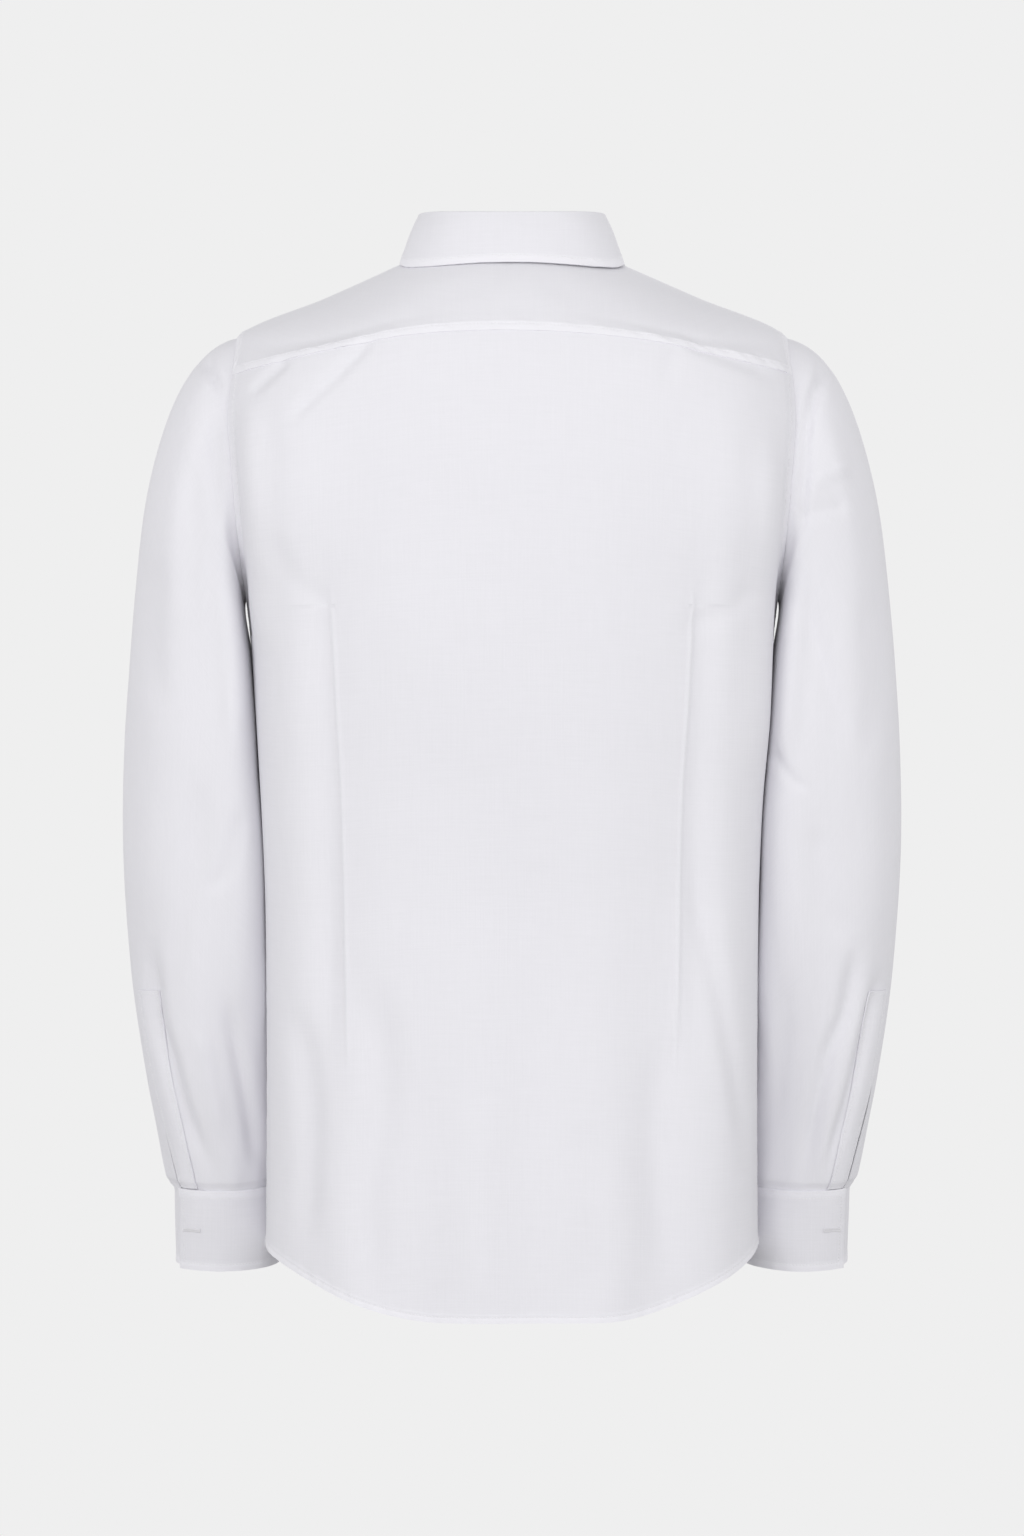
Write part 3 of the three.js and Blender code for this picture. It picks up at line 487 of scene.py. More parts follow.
def normals_of(grid):
    """The outward direction at each point of a grid whose columns run with the turn."""
    round_it = np.gradient(grid, axis=1)
    fall = np.gradient(grid, axis=0)
    joined = joined_rows(grid)
    across = grid[joined, 1] - grid[joined, -2]
    round_it[joined, 0] = across
    round_it[joined, -1] = across
    mean = (fall[joined, 0] + fall[joined, -1]) / 2
    fall[joined, 0] = mean
    fall[joined, -1] = mean
    return unit(np.cross(round_it, fall))


def lifted(grid, relief):
    return grid + normals_of(grid) * np.asarray(relief)[..., None]


def spread(start, end, count, fine_start=(), fine_end=()):
    """Even places between two ends, with closer ones measured from either end."""
    places = list(np.linspace(start, end, count + 1))
    places += [start + d for d in fine_start] + [end - d for d in fine_end]
    places = np.unique(np.round(places, 5))
    keep = np.concatenate([[True], np.diff(places) > 1e-4 * abs(end - start)])
    return places[keep]


# Meshes

def turned(grid, **bands):
    """1 where the cloth lies turned over itself along the edges that are named, 0 elsewhere. The cloth is
    painted lighter there, for the inside's shade that shows through it less.
    """
    share = np.zeros(grid.shape[:2])
    for edge, band in bands.items():
        share = np.maximum(share, 1 - smooth(band - 0.6, band + 0.9, edge_lengths(grid, edge)))
    return share


def wall(grid, thick):
    """Vertices, faces and cloth coordinates of a closed layer under a grid of outer points."""
    rows, columns = grid.shape[:2]
    inner = grid - normals_of(grid) * np.asarray(thick)[..., None]
    verts = np.concatenate([grid.reshape(-1, 3), inner.reshape(-1, 3)])
    index = np.arange(rows * columns).reshape(rows, columns)
    under = index + rows * columns
    a, b, c, d = index[:-1, :-1], index[:-1, 1:], index[1:, 1:], index[1:, :-1]
    faces = [np.stack([a, b, c, d], -1).reshape(-1, 4)]
    a, b, c, d = under[:-1, :-1], under[1:, :-1], under[1:, 1:], under[:-1, 1:]
    faces.append(np.stack([a, b, c, d], -1).reshape(-1, 4))
    for i in (0, -1):
        line, low = (index[i], under[i]) if i == 0 else (index[i][::-1], under[i][::-1])
        faces.append(np.stack([line[1:], line[:-1], low[:-1], low[1:]], -1))
    joined = joined_rows(grid)
    side = ~(joined[:-1] & joined[1:])
    left, left_low = index[:, 0], under[:, 0]
    faces.append(np.stack([left[:-1], left[1:], left_low[1:], left_low[:-1]], -1)[side])
    right, right_low = index[:, -1], under[:, -1]
    faces.append(np.stack([right[1:], right[:-1], right_low[:-1], right_low[1:]], -1)[side])
    along = edge_lengths(grid, "left")
    along = along - along.mean(axis=1, keepdims=True)
    uv = np.stack([along, -edge_lengths(grid, "top")], -1).reshape(-1, 2) * MM
    return verts, np.concatenate(faces), np.concatenate([uv, uv])


def new_object(name, verts, faces, uv=None, sharp=50, turned_painted_light=None):
    mesh = bpy.data.meshes.new(name)
    faces = faces.tolist() if isinstance(faces, np.ndarray) else faces
    mesh.from_pydata((np.asarray(verts) * MM).tolist(), [], faces)
    if uv is not None:
        layer = mesh.uv_layers.new(name="cloth")
        loops = np.empty(len(mesh.loops), np.int32)
        mesh.loops.foreach_get("vertex_index", loops)
        layer.data.foreach_set("uv", uv[loops].astype(np.float32).ravel())
    # The share of turned cloth is kept on the mesh; the poplin paints its lighter tone by it, as painted
    # light for less shade showing through.
    if turned_painted_light is not None:
        share = mesh.attributes.new("turned_painted_light", "FLOAT", "POINT")
        share.data.foreach_set("value", np.tile(turned_painted_light.ravel(), 2).astype(np.float32))
    work = bmesh.new()
    work.from_mesh(mesh)
    bmesh.ops.remove_doubles(work, verts=work.verts, dist=2e-6)
    work.to_mesh(mesh)
    work.free()
    mesh.shade_smooth()
    mesh.set_sharp_from_angle(angle=sharp * RAD)
    mesh.validate()
    piece = bpy.data.objects.new(name, mesh)
    bpy.context.scene.collection.objects.link(piece)
    return piece


def mirrored(grid):
    """The same cloth on the wearer's right."""
    return grid[:, ::-1] * np.array([-1, 1, 1])


def add_piece(piece, material, slot, *nodes):
    piece.data.materials.clear()
    piece.data.materials.append(material)
    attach(piece, BODY_NAME)
    if nodes:
        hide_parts(*nodes)
    return piece


def add_cloth(name, grid, node, thick, **bands):
    """A piece of cloth in place of its node, painted whiter in the bands where it is turned over: the turned
    cloth is real, the whiter tone is painted light for less of the inside's shade showing through.
    """
    piece = new_object(name, *wall(grid, thick), turned_painted_light=turned(grid, **bands))
    return add_piece(piece, poplin(), CLOTH_SLOT, node)


def seam_line(grid, edge, inset, trim=(0, 0)):
    """Points and normals along a grid's edge, a distance in from it."""
    normals = normals_of(grid)
    far = edge_lengths(grid, edge)
    if edge in ("left", "right"):
        grid, normals, far = grid.swapaxes(0, 1), normals.swapaxes(0, 1), far.T
    if edge in ("bottom", "right"):
        grid, normals, far = grid[::-1], normals[::-1], far[::-1]
    points, outs = [], []
    for i in range(grid.shape[1]):
        if far[-1, i] <= inset:
            continue
        points.append([np.interp(inset, far[:, i], grid[:, i, k]) for k in range(3)])
        outs.append([np.interp(inset, far[:, i], normals[:, i, k]) for k in range(3)])
    points, outs = np.array(points), np.array(outs)
    lengths = np.concatenate([[0], np.cumsum(np.linalg.norm(np.diff(points, axis=0), axis=1))])
    keep = (lengths >= trim[0]) & (lengths <= lengths[-1] - trim[1])
    return points[keep], outs[keep]


def stitches(runs, pitch, wide):
    """Small raised stitches along lines of points and normals."""
    verts, faces = [], []
    for points, outs in runs:
        lengths = np.concatenate([[0], np.cumsum(np.linalg.norm(np.diff(points, axis=0), axis=1))])
        for n in range(int(lengths[-1] // pitch)):
            ends = (n + 0.14) * pitch, (n + 0.86) * pitch
            a, b = (np.array([np.interp(e, lengths, points[:, k]) for k in range(3)]) for e in ends)
            out = unit(np.array([np.interp(ends[0], lengths, outs[:, k]) for k in range(3)]))
            way = unit(b - a)
            side = np.cross(out, way) * wide / 2
            up = out * wide / 2
            base = len(verts)
            verts.append(a - up * 0.6)
            for share in (0.2, 0.8):
                middle = mix(a, b, share) + up * 0.35
                verts += [middle + side, middle + up, middle - side, middle - up]
            verts.append(b - up * 0.6)
            last = base + 9
            for k in range(4):
                m = (k + 1) % 4
                faces.append((base, base + 1 + m, base + 1 + k))
                faces.append((base + 1 + k, base + 1 + m, base + 5 + m, base + 5 + k))
                faces.append((last, base + 5 + k, base + 5 + m))
    return np.array(verts), faces


def add_stitches(name, runs):
    sizes = bpy.context.scene.shirt_sizes
    verts, faces = stitches(runs, sizes.stitch_pitch / MM, sizes.thread_width / MM)
    piece = new_object(name, verts, faces, sharp=80)
    return add_piece(piece, sewing_thread(), CLOTH_SLOT)


# Materials

BAND = 0.314159      # the scale at which a wave texture's bands lie one metre apart


def linear(colour):
    """A hex colour as linear red, green and blue."""
    parts = [int(colour[i:i + 2], 16) / 255 for i in (1, 3, 5)]
    return [p / 12.92 if p <= 0.04045 else ((p + 0.055) / 1.055) ** 2.4 for p in parts]


def add_node(tree, kind, settings=(), links=()):
    """Adds a node with its settings, by property or socket, and the links into its sockets."""
    node = tree.nodes.new(kind)
    for name, value in dict(settings).items():
        if isinstance(name, int) or name in node.inputs:
            node.inputs[name].default_value = value
        else:
            setattr(node, name, value)
    for name, output in dict(links).items():
        tree.links.new(output, node.inputs[name])
    return node


def start_material(name):
    """A new material with its tree and shader, or the one that is already made."""
    made = bpy.data.materials.get(name)
    if made:
        return made, None, None
    material = bpy.data.materials.new(name)
    material.use_nodes = True
    tree = material.node_tree
    tree.nodes.clear()
    shader = add_node(tree, "ShaderNodeBsdfPrincipled")
    add_node(tree, "ShaderNodeOutputMaterial", links={"Surface": shader.outputs[0]})
    return material, tree, shader


def poplin():
    """Bleached cotton poplin, plain woven: matt, faintly lavender from its brightener, with
    slubs in both threads and the soft sheen of fine fibre ends."""
    material, tree, shader = start_material("bleached_cotton_poplin")
    if tree is None:
        return material
    colours = bpy.context.scene.shirt_colours
    base = tuple(colours.cloth) + (1,)
    shade = tuple(c * 0.975 for c in colours.cloth) + (1,)
    place = add_node(tree, "ShaderNodeUVMap", {"uv_map": "cloth"})
    streaks = []
    # Slubs are 0.3 mm wide in the real cloth and are drawn 1.3 mm wide to show.
    for scale in ((1 / 0.0013, 1 / 0.045, 1), (1 / 0.034, 1 / 0.0013, 1)):
        grid = add_node(tree, "ShaderNodeMapping", {"Scale": scale}, {"Vector": place.outputs[0]})
        streaks.append(add_node(tree, "ShaderNodeTexNoise",
                                {"noise_dimensions": "2D", "Scale": 1.0, "Detail": 2.0, "Roughness": 0.6},
                                {"Vector": grid.outputs[0]}))
    both = add_node(tree, "ShaderNodeMath", {"operation": "ADD"},
                    {0: streaks[0].outputs[0], 1: streaks[1].outputs[0]})
    cloud = add_node(tree, "ShaderNodeTexNoise", {"noise_dimensions": "2D", "Scale": 14.0, "Detail": 2.0},
                     {"Vector": place.outputs[0]})
    amount = add_node(tree, "ShaderNodeMath", {"operation": "MULTIPLY_ADD", 1: 0.35},
                      {0: cloud.outputs[0], 2: both.outputs[0]})
    share = add_node(tree, "ShaderNodeMapRange", {"From Min": 0.8, "From Max": 1.6},
                     {"Value": amount.outputs[0]})
    single = add_node(tree, "ShaderNodeMix", {"data_type": "RGBA"}, {"Factor": share.outputs[0]})
    single.inputs[6].default_value = shade
    single.inputs[7].default_value = base
    # Painted light: turned edges lie threefold and are painted lighter, because less of the shade inside the
    # shirt shows through them.
    turned_painted_light = add_node(tree, "ShaderNodeAttribute", {"attribute_name": "turned_painted_light"})
    colour = add_node(tree, "ShaderNodeMix", {"data_type": "RGBA"},
                      {"Factor": turned_painted_light.outputs["Fac"], 6: single.outputs[2]})
    colour.inputs[7].default_value = tuple(colours.turned) + (1,)
    # Threads lie 0.25 mm apart in the real cloth and are drawn 0.9 mm apart to show.
    waves = []
    for direction in ("X", "Y"):
        waves.append(add_node(tree, "ShaderNodeTexWave",
                              {"bands_direction": direction, "Scale": BAND / 0.0009, "Distortion": 1.2,
                               "Detail": 1.0, "Detail Scale": 1.5},
                              {"Vector": place.outputs[0]}))
    weave = add_node(tree, "ShaderNodeMath", {"operation": "MULTIPLY"},
                     {0: waves[0].outputs[1], 1: waves[1].outputs[1]})
    height = add_node(tree, "ShaderNodeMath", {"operation": "MULTIPLY_ADD", 1: 0.5},
                      {0: weave.outputs[0], 2: both.outputs[0]})
    bump = add_node(tree, "ShaderNodeBump", {"Strength": 0.12, "Distance": 0.0004},
                    {"Height": height.outputs[0]})
    rough = add_node(tree, "ShaderNodeMapRange",
                     {"From Min": 0.6, "From Max": 1.5, "To Min": 0.78, "To Max": 0.92},
                     {"Value": both.outputs[0]})
    tree.links.new(colour.outputs[2], shader.inputs["Base Color"])
    tree.links.new(rough.outputs[0], shader.inputs["Roughness"])
    tree.links.new(bump.outputs[0], shader.inputs["Normal"])
    shader.inputs["IOR"].default_value = 1.53
    shader.inputs["Specular IOR Level"].default_value = 0.3
    shader.inputs["Sheen Weight"].default_value = 0.12
    shader.inputs["Sheen Roughness"].default_value = 0.5
    return material


def sewing_thread():
    """Mercerised cotton thread, twisted: a little brighter and smoother than the poplin."""
    material, tree, shader = start_material("mercerised_cotton_thread")
    if tree is None:
        return material
    place = add_node(tree, "ShaderNodeTexCoord")
    # The twist is 0.3 mm long in the real thread and is drawn 0.7 mm long to show.
    twist = add_node(tree, "ShaderNodeTexWave", {"bands_direction": "DIAGONAL", "Scale": BAND / 0.0007},
                     {"Vector": place.outputs["Object"]})
    bump = add_node(tree, "ShaderNodeBump", {"Strength": 0.3, "Distance": 0.0002},
                    {"Height": twist.outputs[1]})
    low = tuple(c * 0.95 for c in bpy.context.scene.shirt_colours.thread) + (1,)
    colour = add_node(tree, "ShaderNodeMix", {"data_type": "RGBA"}, {"Factor": twist.outputs[1]})
    colour.inputs[6].default_value = low
    colour.inputs[7].default_value = tuple(bpy.context.scene.shirt_colours.thread) + (1,)
    tree.links.new(colour.outputs[2], shader.inputs["Base Color"])
    tree.links.new(bump.outputs[0], shader.inputs["Normal"])
    shader.inputs["Roughness"].default_value = 0.6
    shader.inputs["IOR"].default_value = 1.53
    return material


def button_resin():
    """Cast polyester resin, turned and tumbled: smooth, with faint pearly clouds."""
    material, tree, shader = start_material("cast_polyester_resin")
    if tree is None:
        return material
    place = add_node(tree, "ShaderNodeTexCoord")
    # Clouds of the casting are about 3 mm across.
    cloud = add_node(tree, "ShaderNodeTexNoise", {"Scale": 330.0, "Detail": 3.0, "Distortion": 1.2},
                     {"Vector": place.outputs["Object"]})
    resin = tuple(bpy.context.scene.shirt_colours.resin)
    colour = add_node(tree, "ShaderNodeMix", {"data_type": "RGBA"}, {"Factor": cloud.outputs[0]})
    colour.inputs[6].default_value = tuple(c * 0.86 for c in resin) + (1,)
    colour.inputs[7].default_value = resin + (1,)
    rough = add_node(tree, "ShaderNodeMapRange", {"To Min": 0.22, "To Max": 0.38},
                     {"Value": cloud.outputs[0]})
    tree.links.new(colour.outputs[2], shader.inputs["Base Color"])
    tree.links.new(rough.outputs[0], shader.inputs["Roughness"])
    shader.inputs["IOR"].default_value = 1.55
    shader.inputs["Coat Weight"].default_value = 0.2
    return material


def studio_paper():
    """Matt seamless paper, pale grey, with a trace of mottle."""
    material, tree, shader = start_material("seamless_studio_paper")
    if tree is None:
        return material
    place = add_node(tree, "ShaderNodeTexCoord")
    mottle = add_node(tree, "ShaderNodeTexNoise", {"Scale": 6.0, "Detail": 2.0},
                      {"Vector": place.outputs["Object"]})
    paper = tuple(bpy.context.scene.shirt_colours.paper)
    colour = add_node(tree, "ShaderNodeMix", {"data_type": "RGBA"}, {"Factor": mottle.outputs[0]})
    colour.inputs[6].default_value = tuple(c * 0.985 for c in paper) + (1,)
    colour.inputs[7].default_value = paper + (1,)
    tree.links.new(colour.outputs[2], shader.inputs["Base Color"])
    shader.inputs["Roughness"].default_value = 0.95
    shader.inputs["Specular IOR Level"].default_value = 0.2
    return material


# Pieces

def back_grid(strength):
    steps = spread(YOKE_BACK_STEP, ARMHOLE_STEPS / 2, 78)
    half = np.concatenate([
        np.linspace(0, 0.395, 40), np.linspace(0.4, 0.44, 11), np.linspace(0.447, 0.965, 54),
        np.array([0.972, 0.978, 0.984, 0.989, 0.994, 0.997]),
        np.array([1.0]),
    ])
    shares = np.concatenate([-half[:0:-1], half])
    turns, downs = [], []
    for step in steps:
        turn, down = armhole(step, -SEAM / 2)
        turns.append(shares * turn)
        downs.append(np.full(shares.shape, down))
    start = downs[-1][0]
    length = hem_down(0.0) - start
    for share in spread(0, 1, 146, fine_end=[d / length for d in HEM_FINE])[1:]:
        turn = shares * (SIDE - SIDE_SEAM_TURN)
        turns.append(turn)
        downs.append(mix(start, hem_down(turn), share))
    turn, down = np.array(turns), np.array(downs)
    base = body_point(turn, down)
    relief = body_relief(base[..., 0], base[..., 2], turn, down, strength)
    dart = smooth(DART_TOP, DART_TOP + 70, down) * smooth(DART_BOTTOM, DART_BOTTOM - 90, down)
    column = np.argmin(np.abs(shares - DART_SHARE))
    line = np.where(down[:, :1] < start, base[len(steps), column, 0], base[:, column:column + 1, 0])
    beside = np.abs(base[..., 0]) - line
    for high, place, wide in DART_LINES:
        relief = relief + dart * high * np.exp(-((beside - place) / wide) ** 2)
    relief = relief + edge_relief(base, "bottom", *HEM_FOLD, seed=21)
    sides = down > start
    for edge, seed in (("left", 23), ("right", 25)):
        band = edge_relief(base, edge, 7, 0.5, 6, 0.1, seed)
        relief = relief + band * np.where(sides, 1, 0.9)
    relief = relief - 0.25 * np.exp(-(edge_lengths(base, "top") / 2.5) ** 2)
    return base + body_normal(turn, down) * relief[..., None]


def yoke_grid(strength):
    edge_steps = np.concatenate([np.linspace(YOKE_BACK_STEP - 0.12, -YOKE_FRONT_STEP, 46)])
    turn_l, down_l = armhole(edge_steps, -SEAM / 2)
    back_turn, back_down = armhole(float(YOKE_BACK_STEP), -SEAM / 2)
    turn_l, down_l = np.array(turn_l), np.array(down_l)
    shares = np.linspace(-1, 1, 121)
    lap = 1.2
    outer_turn = np.concatenate([-turn_l[::-1], shares * back_turn, turn_l])
    outer_down = np.concatenate([down_l[::-1], np.full(121, back_down + lap), down_l])
    n = len(turn_l)
    wing = np.linspace(1, YOKE_BACK_SHARE, n, endpoint=False)
    neck_share = np.concatenate([-wing, YOKE_BACK_SHARE * shares, wing[::-1]])
    neck_turn = neck_share * (YOKE_NECK_TURN - SEAM / 2 / STAND["half"])
    length = 100
    rows = spread(0, 1, 40, fine_end=[d / length for d in (0.5, 1.2, 2.4, 4, 5.4, 6.4, 7.4, 8.8)])
    turn = mix(neck_turn, outer_turn, rows[:, None])
    down = mix(np.zeros(len(outer_turn)), outer_down, rows[:, None])
    base = body_point(turn, down)
    relief = body_relief(base[..., 0], base[..., 2], turn, down, strength)
    columns = np.arange(len(outer_turn))
    on_back = smooth(n - 8, n, columns) * smooth(n + 128, n + 120, columns)
    seam = edge_relief(base, "bottom", 7.5, 0.5, 5.5, 0.34, 31)
    relief = relief + seam * mix(0.55, 1, on_back)
    for edge, seed in (("left", 33), ("right", 35)):
        relief = relief + edge_relief(base, edge, 6, 0.5, 4.5, 0.1, seed)
    return base + body_normal(turn, down) * relief[..., None]


def front_places(outs):
    """Turn and down over one front, from its seams to past the middle."""
    corner_turn, corner_down = armhole(float(ARMHOLE_STEPS - YOKE_FRONT_STEP), -SEAM / 2)
    neck_start = YOKE_NECK_TURN + SEAM / 2 / STAND["half"]
    rows = []
    for t in np.linspace(0, 1, 26):
        rows.append((mix(neck_start, corner_turn + SIDE_SEAM_TURN, t), corner_down * t))
    for step in np.linspace(ARMHOLE_STEPS - YOKE_FRONT_STEP, ARMHOLE_STEPS / 2, 74)[1:]:
        turn, down = armhole(step, -SEAM / 2)
        rows.append((float(turn), float(down)))
    rows[-1] = (SIDE + SIDE_SEAM_TURN, rows[-1][1])
    columns = spread(0, 1, 74, fine_start=(0.006, 0.012, 0.02, 0.03),
                     fine_end=(0.004, 0.009, 0.016, 0.024))

    def line(start, down):
        end = float(turn_at(outs[0], down, True))
        return np.concatenate([mix(start, end, columns), turn_at(outs[1:], down, True)])
    turns = [line(start, down) for start, down in rows]
    downs = [np.full(len(turns[0]), down) for _, down in rows]
    bottom = rows[-1][1]
    length = hem_down(FRONT) - bottom
    for share in spread(0, 1, 136, fine_end=[d / length for d in HEM_FINE])[1:]:
        turns.append(turns[len(rows) - 1])
        downs.append(mix(bottom, hem_down(turns[-1]), share))
    return np.array(turns), np.array(downs)


def front_grid(outs, tucked, strength):
    turn, down = front_places(outs)
    base = body_point(turn, down)
    sign = -1 if tucked else 1
    relief = body_relief(sign * base[..., 0], base[..., 2], turn, down, strength)
    relief = relief + edge_relief(base, "bottom", *HEM_FOLD, seed=43 if tucked else 41)
    if tucked:
        sunk = len(outs)
        ramp = np.ones(base.shape[1])
        ramp[:-sunk] = 0
        relief = relief - LAYER_DROP * ramp
    return base + body_normal(turn, down) * relief[..., None]


def placket_grid(strength):
    half = [PLACKET_HALF, 15.2, 14, 12, 11, 10.4, 9.6, 8, 4]
    outs = np.array(half + [0] + [-out for out in reversed(half)])
    turn, down = front_places(outs)
    turn, down = turn[:, -len(outs):], down[:, -len(outs):]
    base = body_point(turn, down)
    relief = np.full(turn.shape, PLACKET_RISE)
    relief = relief + edge_relief(base, "bottom", 5.5, 0.3, 4.2, 0.1, 51)
    for edge, seed in (("left", 53), ("right", 55)):
        relief = relief + edge_relief(base, edge, 6, 0, 6, 0.1, seed)
    relief = relief + body_relief(base[..., 0], base[..., 2], turn, down, strength)
    return base + body_normal(turn, down) * relief[..., None]


def stand_grid():
    ring = body_ring(0)

    def end_turn(out):
        return math.asin((out / ring["half"]) ** (ring["square"] / 2))
    first, last = -FRONT - end_turn(STAND_UNDER), FRONT + end_turn(STAND_OVER)
    line = spread(first, last, 190, fine_start=(0.006, 0.016, 0.03), fine_end=(0.006, 0.016, 0.03))
    rows = np.array([0, 0.02, 0.05, 0.1, 0.2, 0.35, 0.5, 0.65, 0.8, 0.88, 0.93, 0.97, 1.0, 1.035])
    turn = np.broadcast_to(line, (len(rows), len(line)))
    grid = stand_point(turn, np.broadcast_to(rows[:, None], turn.shape))
    under_end, ramp_end = (end_turn(out) - FRONT for out in (STAND_UNDER, STAND_OVER + STAND_RAMP))
    tuck = LAYER_DROP * (1 - smooth(under_end, ramp_end, turn))
    grid = grid - level_out(grid) * tuck[..., None]
    relief = edge_relief(grid, "bottom", 3, 0.3, 2.4, 0.08, 61)
    relief = relief + 0.1 * ripple(turn * 70, rows[:, None] * 30, 60, 40, 63)
    return lifted(grid, relief)


def fall_grid():
    span = FRONT - COLLAR_GAP_TURN
    fine = (0.002, 0.005, 0.009, 0.014)
    at = spread(-1, 1, 200, fine_start=fine, fine_end=fine)
    turn = at * span
    top = ring_point(STAND, turn)
    out = level_out(top)
    path = {"at": np.arange(5), "out": COLLAR_ROLL["out"], "up": COLLAR_ROLL["up"]}
    share = np.linspace(0, 4, 17)
    roll = (top + out * curve(path, "at", "out", share)[:, None, None]
            + np.array([0, 0, 1]) * curve(path, "at", "up", share)[:, None, None])
    edge_turn = np.sign(at) * curve(COLLAR_EDGE, "at", "turn", np.abs(at)) * RAD
    edge_down = curve(COLLAR_EDGE, "at", "down", np.abs(at))
    edge = body_point(edge_turn, edge_down)
    off = curve(COLLAR_EDGE, "at", "off", np.abs(at))
    edge = edge + body_normal(edge_turn, edge_down) * off[:, None]
    drop = np.linalg.norm(edge - roll[-1], axis=-1)
    rows = spread(0, 1, 22, fine_end=[d / drop.mean() for d in (0.5, 1.2, 2.4, 4, 5, 6, 7, 8.4)])[1:]
    fall = mix(roll[-1], edge, rows[:, None, None])
    grid = np.concatenate([roll, fall])
    bulge = np.concatenate([np.zeros(len(roll)), np.sin(math.pi * rows ** 0.8)])[:, None]
    relief = bulge + np.zeros(grid.shape[:2])
    relief = relief + edge_relief(grid, "bottom", 6.2, 0.3, 5.5, 0.12, 71)
    relief = relief + 0.25 * bulge * ripple(turn * 80, rows.mean() * 40, 70, 60, 75)
    for side, seed in (("left", 77), ("right", 79)):
        relief = relief + edge_relief(grid, side, 6.2, 0.25, 5.5, 0.06, seed)
    return lifted(grid, relief)


def sleeve_relief(grid, turn, lines, strength, seed):
    x, z = grid[..., 0], grid[..., 2]
    rear = smooth(-0.05, 0.4, np.sin(turn))
    fore = smooth(-0.05, 0.4, -np.sin(turn))
    waves = ripple(x, z, 62, 300, seed) * 0.9 + ripple(x, z, 120, 130, seed + 1) * 0.8
    fall = rear * (creases(x, z, lines) + waves) + fore * (creases(x, z, SLEEVE_FRONT) + waves)
    return fall * strength


def sleeve_grid(side, strength):
    columns = np.linspace(0, 2 * math.pi, 151) + SLIT_TURN
    lines = LEFT_SLEEVE_REAR if side == "left" else RIGHT_SLEEVE_REAR
    seed = 81 if side == "left" else 91
    step = columns / (2 * math.pi) * ARMHOLE_STEPS
    grid, relief = [], []
    for shift, sunk in ((-4, 1.3), (-0.6, 1.1)):
        turn, down = armhole(step, shift)
        grid.append(body_point(turn, down) - body_normal(turn, down) * sunk)
        relief.append(np.zeros(len(columns)))
    # The armhole loop runs backwards over the front, so its places are plain body places.
    for share in spread(0, 1, 64, fine_start=(0.006, 0.014, 0.025)):
        row = cap_point(columns, np.full(len(columns), share), SEAM)
        grid.append(row)
        away = np.linalg.norm(row - grid[2], axis=-1)
        relief.append(sleeve_relief(row, columns, lines, strength, seed) * smooth(1, 16, away))
    seam = ARM["drop"][-1]
    for drop in spread(ARM["drop"][0], seam - 0.6, 148, fine_end=(0.8, 1.6, 2.6, 4, 5.6))[1:]:
        gap = SLIT_GAP[side] / CUFF["depth"] * smooth(SLIT_TOP, SLIT_TOP + SLIT_OPENS, drop)
        beside = np.minimum(columns - columns[0], columns[-1] - columns)
        shift = np.where(columns < math.pi + SLIT_TURN, 1, -1) * gap * np.exp(-beside / 0.12)
        drops = np.full(len(columns), drop)
        row = arm_point(columns + shift, drops)
        grid.append(row)
        tight = 1 - 0.45 * smooth(seam - 14, seam, drop)
        into = -1.7 * smooth(seam - 7, seam - 0.6, drop)
        gathers = 0.9 * ripple(columns * 42, drop, 22, 300, seed + 3) * smooth(seam - 60, seam - 8, drop)
        folds = sleeve_relief(row, columns, lines, strength, seed) * tight
        relief.append(folds + into + gathers * strength * 0.6)
    grid.append(arm_point(columns, np.full(len(columns), seam + 3.0)))
    relief.append(np.full(len(columns), -2.6))
    # Columns run with the body's turn, which is the other way round than the arm's.
    return np.array(grid)[:, ::-1], np.array(relief)[:, ::-1], columns[::-1]


def sleeve_cloth(side, strength):
    grid, relief, turn = sleeve_grid(side, strength)
    plain = lifted(grid, relief)
    first = np.argmax(grid[:, -1, 2] < -SLEEVE_PLACKET["top"])
    inside = turn <= SLIT_TURN + SLEEVE_PLACKET["width"] + 1e-6
    strip = lifted(grid, relief + SLEEVE_PLACKET["rise"])[first:-1, inside]
    stitch = (edge_relief(strip, "left", TRIM_STITCH, 0, TRIM_STITCH, 0.1, 95)
              + edge_relief(strip, "right", TRIM_STITCH, 0, TRIM_STITCH, 0.1, 97))
    strip = lifted(strip, stitch)
    return (plain, strip) if side == "left" else (mirrored(plain), mirrored(strip))


def cuff_grid(side):
    line = spread(CUFF["under"], CUFF["free"], 168, fine_start=(-1, -3, -5),
                  fine_end=(-0.6, -1.6, -3, -5, -7, -9))[::-1]
    rows = spread(0, CUFF["height"], 24, fine_start=(0.6, 1.4, 2.6, 4, 5.4),
                  fine_end=(0.6, 1.4, 2.6, 4, 5.2, 6.4, 8))
    degrees = np.broadcast_to(line, (len(rows), len(line)))
    along = np.broadcast_to(rows[:, None], degrees.shape)
    seed = 101 if side == "left" else 111
    grid = cuff_point(degrees, along, 0)
    relief = edge_relief(grid, "bottom", 6, 0.35, 5, 0.12, seed)
    relief = relief + edge_relief(grid, "top", 6, 0.35, 5.5, 0.1, seed + 2)
    relief = relief + edge_relief(grid, "right", 6, 0.35, 5, 0.08, seed + 4)
    waves = 0.45 * ripple(degrees * RAD * 41, along, 55, 70, seed + 6)
    relief = relief + waves * smooth(CUFF["under"], 380, degrees)
    grid = lifted(grid, relief)
    return grid if side == "left" else mirrored(grid)


